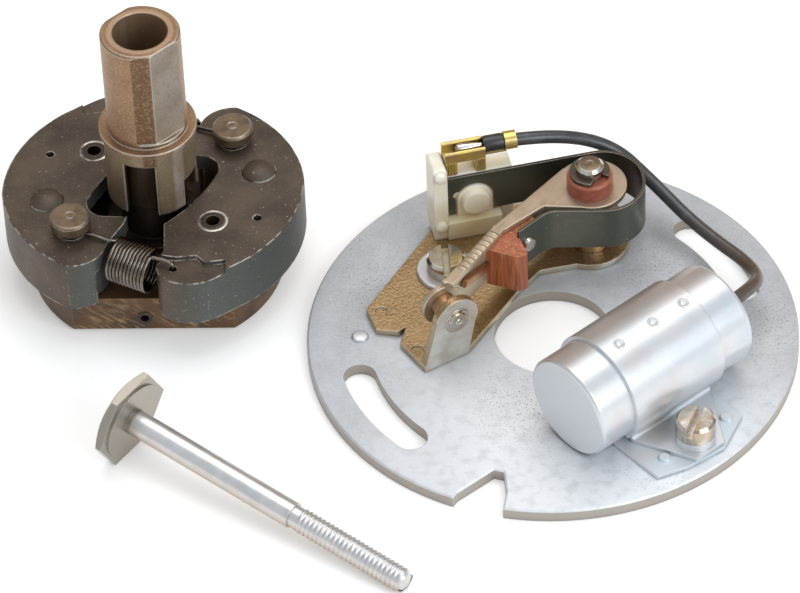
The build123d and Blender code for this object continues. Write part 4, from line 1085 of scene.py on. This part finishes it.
class IGNITION_OT_flyweights(bpy.types.Operator):
    """Finish the two flyweights with their pins and rivets."""

    bl_idname = "ignition.flyweights"
    bl_label = "Flyweights"

    def execute(self, context):
        rim = [(2.2, -0.1), (2.2, 0.03), (2.35, 0.12), (2.55, 0.12), (2.75, 0.03), (2.75, -0.1), (2.2, -0.1)]
        for side in ("right", "left"):
            dress(oxide_sintered_steel, f"flyweight_{side}", f"weight_rivet_{side}")
            dress(rolled_pin_steel, f"drive_pin_{side}")
            low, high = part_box(f"drive_pin_{side}")
            place = (low + high) / 2
            place.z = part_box(f"flyweight_{side}")[1].z
            add_turned(f"pin_rim_{side}", rim, place, UP, chipped_steel, "oxide_steel", f"{side}_weight")
        return {"FINISHED"}


class IGNITION_OT_cam(bpy.types.Operator):
    """Finish the cam with its sleeve and yoke."""

    bl_idname = "ignition.cam"
    bl_label = "Cam"

    def execute(self, context):
        dress(tempered_cam_steel, "cam")
        return {"FINISHED"}


class IGNITION_OT_advance_springs(bpy.types.Operator):
    """Wind the two advance springs from post to weight."""

    bl_idname = "ignition.advance_springs"
    bl_label = "Advance Springs"

    def execute(self, context):
        sizes = context.scene.ignition_details
        axis = joint_place("cam_turn")
        post = joint_place("weight_left_swing")
        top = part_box("flyweight_left")[1].z
        coil_middle = sizes.coil_radius - sizes.coil_wire / 2
        coil_level = top + COIL_RISE * MM + sizes.coil_wire - sizes.coil_radius
        hook = Vector((axis.x + sizes.hook_x, axis.y + sizes.hook_y, top))
        heading = Vector((hook.x - post.x, hook.y - post.y, 0.0)).normalized()
        side = Vector((-heading.y, heading.x, 0.0))
        start = Vector((post.x, post.y, coil_level)) + heading * sizes.coil_stand
        angle = math.atan2(heading.y, heading.x)
        steps = 20
        sweep = [angle + LOOP_GAP + (2 * math.pi - LOOP_GAP) * step / steps for step in range(steps + 1)]
        loop = Vector((post.x, post.y, top + LOOP_RISE * MM))
        around = [loop + level(turn) * LOOP_RADIUS * MM for turn in sweep]
        steps = 16
        coil = []
        for step in range(sizes.coil_turns * steps + 1):
            turn = 2 * math.pi * step / steps
            out = side * math.sin(turn) + UP * math.cos(turn)
            along = heading * (sizes.coil_wire * (step / steps + 0.5))
            coil.append(start + out * coil_middle + along)
        for name, turn, body, step in (
            ("advance_wire_front", 0.0, "right_weight", sizes.right_step),
            ("advance_wire_rear", math.pi, "left_weight", sizes.left_step),
        ):
            ends = [hook + UP * (rise * MM - step) for rise in HOOK_RISES]
            about = Matrix.Translation(axis) @ Matrix.Rotation(turn, 4, "Z") @ Matrix.Translation(-axis)
            points = [about @ point for point in around + coil + ends]
            mesh = tube(name, smooth_line(points, 2), sizes.coil_wire / 2, 10)
            spring = add_piece(name, mesh, drawn_spring_wire, "blued_spring_steel", crease=60)
            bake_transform(spring)
            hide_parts(name.replace("wire", "spring"))
        return {"FINISHED"}


class IGNITION_OT_centre_bolt(bpy.types.Operator):
    """Finish the centre bolt and wind its thread."""

    bl_idname = "ignition.centre_bolt"
    bl_label = "Centre Bolt"

    def execute(self, context):
        dress(zinc_plated_bolt_steel, "centre_bolt")
        mesh = self.thread(context.scene.ignition_details)
        add_piece("bolt_thread", mesh, zinc_plated_bolt_steel, "bright_zinc", "bolt", 40)
        return {"FINISHED"}

    def thread(self, sizes):
        """Vee thread wound round the bolt's end, run out at both ends."""
        shank = mount("bolt_shank")
        way = Vector(shank["axis"])
        shoulder = Vector(shank["pos_m"]) + way * (shank["dims"]["length_mm"] / 2 * MM)
        home = Matrix.Translation(shoulder) @ way.to_track_quat("Z", "Y").to_matrix().to_4x4()
        steps = 18
        turns = int(sizes.thread_length / sizes.thread_pitch) - 1
        rings = []
        for step in range(turns * steps + 1):
            swell = min(1.0, step / steps, (turns * steps - step) / steps)
            crest = sizes.thread_core + (sizes.thread_crest - sizes.thread_core) * swell
            middle = sizes.thread_pitch * (step / steps + 1.0)
            section = ((sizes.thread_core, -0.49), (crest, -0.1), (crest, 0.1), (sizes.thread_core, 0.49))
            out = level(2 * math.pi * step / steps)
            points = [out * radius + UP * (middle + share * sizes.thread_pitch) for radius, share in section]
            rings.append([home @ point for point in points])
        return loft("bolt_thread", rings)


class IGNITION_OT_stage(bpy.types.Operator):
    """Lay the bench and set the camera and lamps."""

    bl_idname = "ignition.stage"
    bl_label = "Bench, Lamps and Camera"

    def execute(self, context):
        bench = context.scene.ignition_bench
        scene = context.scene
        scene.view_settings.view_transform = "Standard"

        forward = Vector((0, math.cos(bench.pitch), -math.sin(bench.pitch)))
        across = Vector((1, 0, 0))
        upward = across.cross(forward)
        right = across * math.cos(bench.roll) + upward * math.sin(bench.roll)
        over = -across * math.sin(bench.roll) + upward * math.cos(bench.roll)
        lens = bpy.data.cameras.new("bench_camera")
        lens.sensor_width = SENSOR_MM
        lens.lens = bench.focal / IMAGE_WIDTH * SENSOR_MM
        lens.clip_start = 0.01
        lens.clip_end = 50.0
        camera = bpy.data.objects.new("bench_camera", lens)
        turned = Matrix((right, over, -forward)).transposed().to_4x4()
        camera.matrix_world = Matrix.Translation(Vector(bench.place)) @ turned
        scene.collection.objects.link(camera)
        scene.camera = camera

        top = bpy.data.meshes.new("bench_top")
        half = bench.half_width
        outline = [(-half, -half), (half, -half), (half, half), (-half, half)]
        top.from_pydata([(x, y, -BENCH_DROP * MM) for x, y in outline], [], [(0, 1, 2, 3)])
        floor = bpy.data.objects.new("bench_top", top)
        scene.collection.objects.link(floor)
        top.materials.append(self.paper(bench))

        for name, place, size, power, tone in (
            ("overhead_lamp", (0.05, 0.25, 0.8), 0.7, bench.key_power, bench.sky),
            ("front_lamp", (0.6, -0.6, 0.5), 0.6, bench.fill_power, bench.near_wall),
        ):
            lamp = bpy.data.lights.new(name, "AREA")
            lamp.shape = "SQUARE"
            lamp.size = size
            lamp.energy = power
            lamp.color = tone[:3]
            holder = bpy.data.objects.new(name, lamp)
            holder.location = place
            holder.rotation_euler = (-Vector(place)).to_track_quat("-Z", "Y").to_euler()
            scene.collection.objects.link(holder)

        self.room(scene, bench)
        return {"FINISHED"}

    def paper(self, bench):
        """White paper: lit softly, white to the eye and in reflections, with the set's shadow on it."""
        material = bpy.data.materials.new("White_paper")
        look = Look(material)
        lit = look.put("BsdfDiffuse", {"Color": bench.paper})
        glow = look.put("Emission", {"Color": bench.paper, "Strength": bench.glow})
        both = look.put("AddShader", {0: lit, 1: glow})
        seen = look.put("LightPath", out="Is Camera Ray")
        for ray in ("Is Glossy Ray", "Is Transmission Ray"):
            also = look.put("LightPath", out=ray)
            seen = look.put("Math", {0: seen, 1: also}, operation="MAXIMUM")
        mix = look.put("MixShader", {0: seen, 1: lit, 2: both})
        look.put("OutputMaterial", {"Surface": mix})
        return material

    def room(self, scene, bench):
        """A soft room: white overhead, a warm far wall and a cool near one."""
        world = bpy.data.worlds.new("soft_room")
        scene.world = world
        look = Look(world, bench)
        way = look.put("TexCoord", out="Generated")
        depth = look.put("SeparateXYZ", {0: way}, "Y")
        height = look.put("SeparateXYZ", {0: way}, "Z")
        far = look.put("MapRange", {0: depth, "From Min": -0.1, "From Max": 0.6})
        over = look.put("MapRange", {0: height, "From Min": 0.6, "From Max": 0.95})
        light = look.coats("near_wall", (far, "far_wall"), (over, "sky"))
        soft = look.put("Background", {"Color": light, "Strength": bench.room_level})
        look.put("OutputWorld", {"Surface": soft})


PIECES = (
    IGNITION_OT_breaker_plate,
    IGNITION_OT_contact_bracket,
    IGNITION_OT_breaker_arm,
    IGNITION_OT_leaf_spring,
    IGNITION_OT_terminal,
    IGNITION_OT_condenser,
    IGNITION_OT_lead,
    IGNITION_OT_advance_base,
    IGNITION_OT_flyweights,
    IGNITION_OT_cam,
    IGNITION_OT_advance_springs,
    IGNITION_OT_centre_bolt,
    IGNITION_OT_stage,
)


class IGNITION_PT_sidebar(bpy.types.Panel):
    """Lists the set's pieces."""

    bl_label = "Contact Breaker Set"
    bl_idname = "IGNITION_PT_sidebar"
    bl_space_type = "VIEW_3D"
    bl_region_type = "UI"
    bl_category = "Ignition"

    def draw(self, context):
        for piece in PIECES:
            self.layout.operator(piece.bl_idname)


SETTINGS = {
    "ignition_finishes": FinishSettings,
    "ignition_details": DetailSettings,
    "ignition_bench": BenchSettings,
}


def register():
    for cls in (*SETTINGS.values(), *PIECES, IGNITION_PT_sidebar):
        bpy.utils.register_class(cls)
    for name, cls in SETTINGS.items():
        setattr(bpy.types.Scene, name, PointerProperty(type=cls))


def unregister():
    for name in SETTINGS:
        delattr(bpy.types.Scene, name)
    for cls in (IGNITION_PT_sidebar, *reversed(PIECES), *SETTINGS.values()):
        bpy.utils.unregister_class(cls)


def main():
    register()
    for piece in PIECES:
        group, name = piece.bl_idname.split(".")
        getattr(getattr(bpy.ops, group), name)()


if __name__ == "__main__":
    main()
